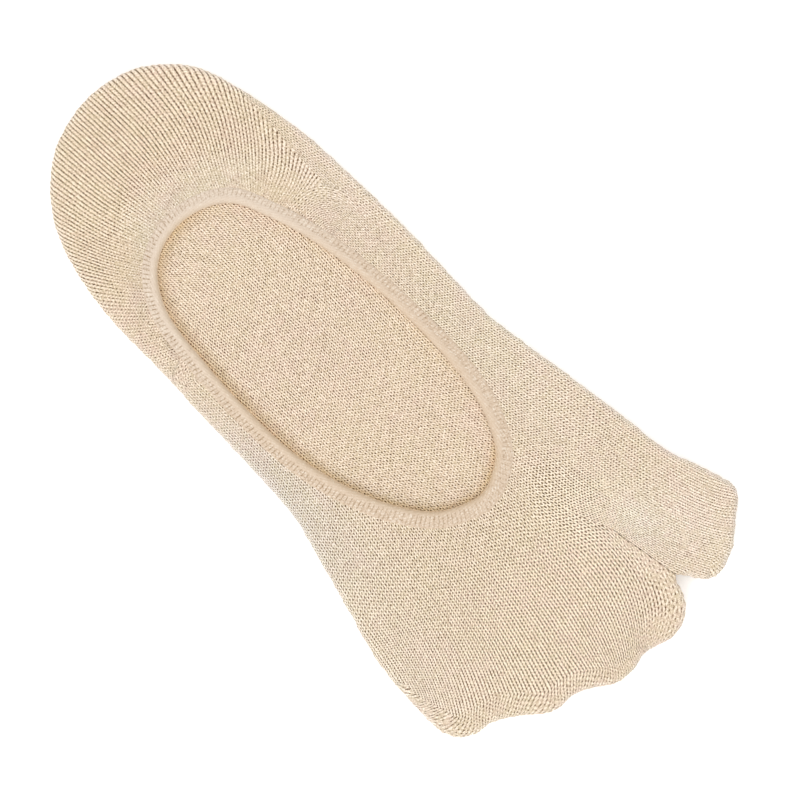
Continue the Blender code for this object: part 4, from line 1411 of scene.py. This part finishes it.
def rim_material(name):
    """The doubled welt: a smooth inner roll, and a row of short stitches along its outer half."""
    n = Nodes(name)
    uv = n.new("ShaderNodeUVMap")
    uv.uv_map = "knit"
    sep = n.new("ShaderNodeSeparateXYZ")
    n.put(uv.outputs[0], sep.inputs[0])
    place = n.new("ShaderNodeTexCoord").outputs["Object"]
    tone = n.new("ShaderNodeAttribute")
    tone.attribute_name = "tone"
    parts = n.new("ShaderNodeSeparateColor")
    n.put(tone.outputs["Color"], parts.inputs[0])
    ticks, heelward, longer = parts.outputs[0], parts.outputs[1], parts.outputs[2]
    v = sep.outputs[1]
    u = n.math("ADD", sep.outputs[0], n.math("MULTIPLY", n.math("SUBTRACT", n.noise(place, 600.0, 2.0), 0.5), 0.5))
    u = n.math("ADD", u, n.math("MULTIPLY", v, 0.55))
    tau = 2 * math.pi
    tick = n.ramp(n.math("COSINE", n.math("MULTIPLY", u, tau)), 0.25, 1.0)
    start = n.math("ADD", v, n.math("MULTIPLY", longer, 0.20))
    stripe = n.math("MULTIPLY", n.ramp(start, 0.40, 0.56), n.math("SUBTRACT", 1.0, n.ramp(v, 0.84, 1.0)))
    tick = n.math("MULTIPLY", n.math("MULTIPLY", tick, stripe), ticks)
    tick = n.math("MULTIPLY", tick, n.math("ADD", -0.5, n.math("MULTIPLY", n.noise(place, 1500.0, 1.0), 2.7)))
    rows = n.math("COSINE", n.math("MULTIPLY", n.math("ADD", n.math("MULTIPLY", v, 6.0), n.math("MULTIPLY", u, 0.5)), tau))
    fuzz = n.math("SUBTRACT", n.noise(place, 4600.0, 3.0, 0.6), 0.5)
    soft = n.math("SUBTRACT", n.noise(place, 700.0, 2.0), 0.5)
    grain = n.math("SUBTRACT", n.noise(place, 2300.0, 1.0, 0.6), 0.5)
    shade = n.math("ADD", n.math("MULTIPLY", fuzz, 0.7), n.math("MULTIPLY", rows, 0.10))
    shade = n.math("ADD", shade, n.math("MULTIPLY", soft, 0.6))
    shade = n.math("ADD", shade, n.math("MULTIPLY", grain, n.math("ADD", 0.7, stripe)))
    base = n.mix(heelward, RIM_TOE, RIM_HEEL)
    colour = n.mix(n.ramp(shade, 0.0, 0.5), base, RIM_LIT)
    colour = n.mix(n.ramp(n.math("MULTIPLY", shade, -1.0), 0.05, 0.8), colour, RIM_DARK_AND_GROOVE_SHADE)
    # painted shade in the grooves between the welt's short ribs
    colour = n.mix(n.math("MULTIPLY", tick, n.math("SUBTRACT", 0.66, n.math("MULTIPLY", longer, 0.2))), colour, RIM_DARK_AND_GROOVE_SHADE)
    n.put(n.tinted(colour), n.shader.inputs["Base Color"])
    n.shader.inputs["Roughness"].default_value = 0.9
    n.shader.inputs["Specular IOR Level"].default_value = 0.18
    n.shader.inputs["Sheen Weight"].default_value = 0.10
    n.shader.inputs["Sheen Roughness"].default_value = 0.6
    bump = n.new("ShaderNodeBump")
    bump.inputs["Strength"].default_value = 0.5
    bump.inputs["Distance"].default_value = 0.0001
    n.put(n.math("SUBTRACT", n.math("MULTIPLY", shade, 0.5), tick), bump.inputs["Height"])
    n.put(bump.outputs[0], n.shader.inputs["Normal"])
    return n.material


# ------------------------------------------------------------ the welt
SHOULDER = np.array((-3.5, -5.0, -9.0))          # its inner shoulder lies in its own shade, in percent
WELT_GLOW = np.array((14.0, 13.0, 12.0))           # and its edge takes light from the sole


def make_welt(name, middle, way, lofted, material):
    """The welt as a closed band: inner roll, flat outer half with ribs across it, underside."""
    pitch = 1.17
    mid = MOUTH_EDGE - MOUTH_N * (WELT_WIDTH * 0.7)
    length = along(mid)[-1]
    ticks = int(round(length / pitch))
    per = 6
    n = ticks * per
    d = along(mid)
    t = np.arange(n) * d[-1] / n
    k = np.interp(t, d, np.arange(len(mid) + 1))
    i0 = np.floor(k).astype(int) % len(mid)
    i1 = (i0 + 1) % len(mid)
    f = (k - np.floor(k))[:, None]
    base = MOUTH_EDGE[i0] * (1 - f) + MOUTH_EDGE[i1] * f
    nor = MOUTH_N[i0] * (1 - f) + MOUTH_N[i1] * f
    nor /= np.linalg.norm(nor, axis=1)[:, None]
    half = WELT_THICK / 2
    # across the welt: share of the width from the mouth, height over the middle, share of the ribs there
    profile = [
        (0.00, -0.58, 0.0), (0.00, -0.34, 0.0), (0.012, -0.06, 0.0), (0.040, 0.22, 0.0), (0.085, 0.46, 0.0),
        (0.14, 0.65, 0.0), (0.205, 0.79, 0.0), (0.28, 0.87, 0.0), (0.36, 0.88, 0.0), (0.45, 0.83, 0.2),
        (0.53, 0.76, 0.6), (0.59, 0.72, 1.0), (0.66, 0.70, 1.0), (0.73, 0.69, 1.0), (0.80, 0.67, 0.9),
        (0.865, 0.63, 0.6), (0.925, 0.55, 0.4), (0.97, 0.38, 0.2), (1.00, 0.05, 0.0), (0.99, -0.35, 0.0),
        (0.93, -0.62, 0.0), (0.78, -0.72, 0.0), (0.5, -0.75, 0.0), (0.22, -0.75, 0.0), (0.06, -0.72, 0.0),
    ]
    lift = (loft(base) + WELT_LIFT) if lofted else np.zeros(n)
    # the row of stitches is open on the little-toe side and nearly closed on the big-toe side
    open_ = 0.55 + 0.45 * step01((2.0 - base[:, 1]) / 12.0)
    width = WELT_WIDTH + 0.2 + 0.5 * step01((base[:, 0] - 95) / 35)
    # it hangs down to the sole, except toward the little toes, where a gap shows
    hang = 0.20 * step01((base[:, 1] + 2.0) / 10.0) + 0.32
    toeward = step01((base[:, 0] - 116) / 14) * step01((16 - base[:, 1]) / 8)
    scallop = 0.05 + 0.09 * toeward                      # a row of loops along the inner edge
    u = np.arange(n) / per
    verts, uvs, tints = [], [], []
    for across, up, ribs in profile:
        wave = 0.5 + 0.5 * np.cos(2 * np.pi * u)
        plan = base - nor * (across * width + scallop * wave * (across < 0.06))[:, None]
        h = up - 0.07 * ribs * wave * open_
        if lofted:
            h = h - hang * step01((0.05 - up) / 0.6) * step01((0.45 - across) / 0.3)
        else:
            h = np.minimum(h, half)
        z = middle + way * (OUT_R - WALL / 2 + h) + (lift if lofted else 0)
        if not lofted:
            z = WELT_THICK / 2 - h
        verts.append(metres(plan, z))
        uvs.append(np.stack([u, np.full(n, across)], 1))
        shoulder = (step01(1 - across / 0.36) * (0.25 + 0.75 * shaded_side(base)))[:, None]
        rolled = step01(1 - np.array([across]) / 0.08) * (0.3 + 0.7 * shaded_side(base))[:, None]
        tints.append(percent(shoulder * SHOULDER + rolled * WELT_GLOW))
    m = len(profile)
    xyz = np.concatenate(verts)
    grid = np.arange(m * n).reshape(m, n)
    tri, uv = [], []
    for j in range(m):
        j2 = (j + 1) % m
        a, b = grid[j], grid[j2]
        a2, b2 = np.roll(a, -1), np.roll(b, -1)
        ua, ub = uvs[j], uvs[j2]
        ua2, ub2 = np.roll(ua, -1, 0).copy(), np.roll(ub, -1, 0).copy()
        ua2[-1, 0], ub2[-1, 0] = ticks, ticks
        tri += [np.stack([a, b, b2], 1), np.stack([a, b2, a2], 1)]
        uv += [np.stack([ua, ub, ub2], 1), np.stack([ua, ub2, ua2], 1)]
    tri, uv = np.concatenate(tri), np.concatenate(uv)
    if way < 0:
        tri, uv = tri[:, ::-1], uv[:, ::-1]
    # faces look outward: test with the signed volume
    a, b, c = xyz[tri[:, 0]], xyz[tri[:, 1]], xyz[tri[:, 2]]
    if (a * np.cross(b, c)).sum() < 0:
        tri, uv = tri[:, ::-1], uv[:, ::-1]
    heelward = step01((95 - base[:, 0]) / 50)
    tone = np.tile(np.stack([open_, heelward, toeward, open_], 1), (m, 1))
    return to_mesh(name, xyz, tri, uv, tone, np.zeros((len(xyz), 2)), np.concatenate(tints), material)


# ------------------------------------------------------------ build
# where the lower foot cover peeks out past the upper one: place, reach, and how far (mm)
PEEKS = (
    ("big toe top",  190.0, 44.5, 15.0,  0.15,  0.45),
    ("big toe end",  201.0, 33.0,  9.0,  0.70,  0.10),
    ("heel top",      15.0, 29.0, 14.0, -0.25,  0.40),
    ("side",          96.0, 25.0, 16.0,  0.05,  0.30),
    ("little toe",   186.0, -47.0, 9.0,  0.10, -0.40),
)


def peek(p):
    out = np.zeros_like(p)
    for _, s, y, reach, ds, dy in PEEKS:
        share = np.exp(-((p - (s, y)) ** 2).sum(1) / (reach * 0.7) ** 2)
        out += share[:, None] * (ds, dy)
    return out


def main():
    shell = make_shell()
    p, z, up, push, deep, tone, extra, tint, tri, uv = shell.arrays()
    plan = p + push[:, :2] * deep[:, None]
    lofts = loft(p) * up
    upper_z = UPPER_MID + z + lofts + push[:, 2] * deep
    lower_z = np.maximum(LOWER_MID - (z + push[:, 2] * deep), 0)
    upper_knit, lower_knit = knit_material("upper_cotton"), knit_material("lower_cotton")
    upper = to_mesh("upper_sock_knit", metres(plan, upper_z), tri, uv, tone, extra, tint, upper_knit)
    lower = to_mesh("lower_sock_knit", metres(plan + peek(p), lower_z), tri[:, ::-1], uv[:, ::-1], tone, extra, tint,
                    lower_knit)
    print("triangles in a foot cover:", len(tri))
    upper_rim = make_welt("upper_rim_knit", UPPER_MID, 1, True, rim_material("upper_welt_cotton"))
    lower_rim = make_welt("lower_rim_knit", LOWER_MID, -1, False, rim_material("lower_welt_cotton"))

    for piece, node, slot in ((upper, "upper_sock", "knit"), (lower, "lower_sock", "knit"),
                              (upper_rim, "upper_rim", "welt"), (lower_rim, "lower_rim", "welt")):
        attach(piece, "root")
        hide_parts(node)

    # ---- floor, light and camera
    bpy.ops.mesh.primitive_plane_add(size=4.0, location=(0, 0, 0))
    floor = bpy.context.object
    floor.name = "floor"
    n = Nodes("pale_floor")
    n.shader.inputs["Base Color"].default_value = (0.97, 0.97, 0.97, 1)
    n.shader.inputs["Roughness"].default_value = 0.95
    n.shader.inputs["Specular IOR Level"].default_value = 0.1
    n.shader.inputs["Emission Color"].default_value = (1, 1, 1, 1)        # a lit table, so the ground is white
    n.shader.inputs["Emission Strength"].default_value = 0.18
    floor.data.materials.append(n.material)

    def lamp(name, place, size, power, colour=(1, 1, 1)):
        data = bpy.data.lights.new(name, "AREA")
        data.shape = "SQUARE"
        data.size = size
        data.energy = power
        data.color = colour
        ob = bpy.data.objects.new(name, data)
        ob.location = place
        way = np.array((0, 0, 0)) - np.array(place)
        ob.rotation_mode = "QUATERNION"
        ob.rotation_quaternion = Vector(way).to_track_quat("-Z", "Y")
        bpy.context.scene.collection.objects.link(ob)
        return ob

    lamp("key_soft_box", (0.25, -1.05, 1.15), 0.9, 8.0, (1.0, 0.985, 0.96))
    lamp("overhead_soft_box", (0.0, 0.0, 1.9), 1.6, 12.0)
    world = bpy.data.worlds.new("studio")
    world.use_nodes = True
    world.node_tree.nodes["Background"].inputs[0].default_value = (1.0, 1.0, 1.0, 1)
    world.node_tree.nodes["Background"].inputs[1].default_value = 0.80
    bpy.context.scene.world = world
    bpy.context.scene.view_settings.view_transform = "Standard"

    camera = bpy.data.cameras.new("camera")
    camera.lens = 200.0
    camera.sensor_width = 36.0
    camera.clip_start, camera.clip_end = 0.05, 10.0
    ob = bpy.data.objects.new("camera", camera)
    width = 800 * 0.0002577
    ob.location = (0.00957, 0.0041, 0.006 + width * camera.lens / camera.sensor_width)
    ob.rotation_euler = (0, 0, math.radians(45))
    bpy.context.scene.collection.objects.link(ob)
    bpy.context.scene.camera = ob


main()
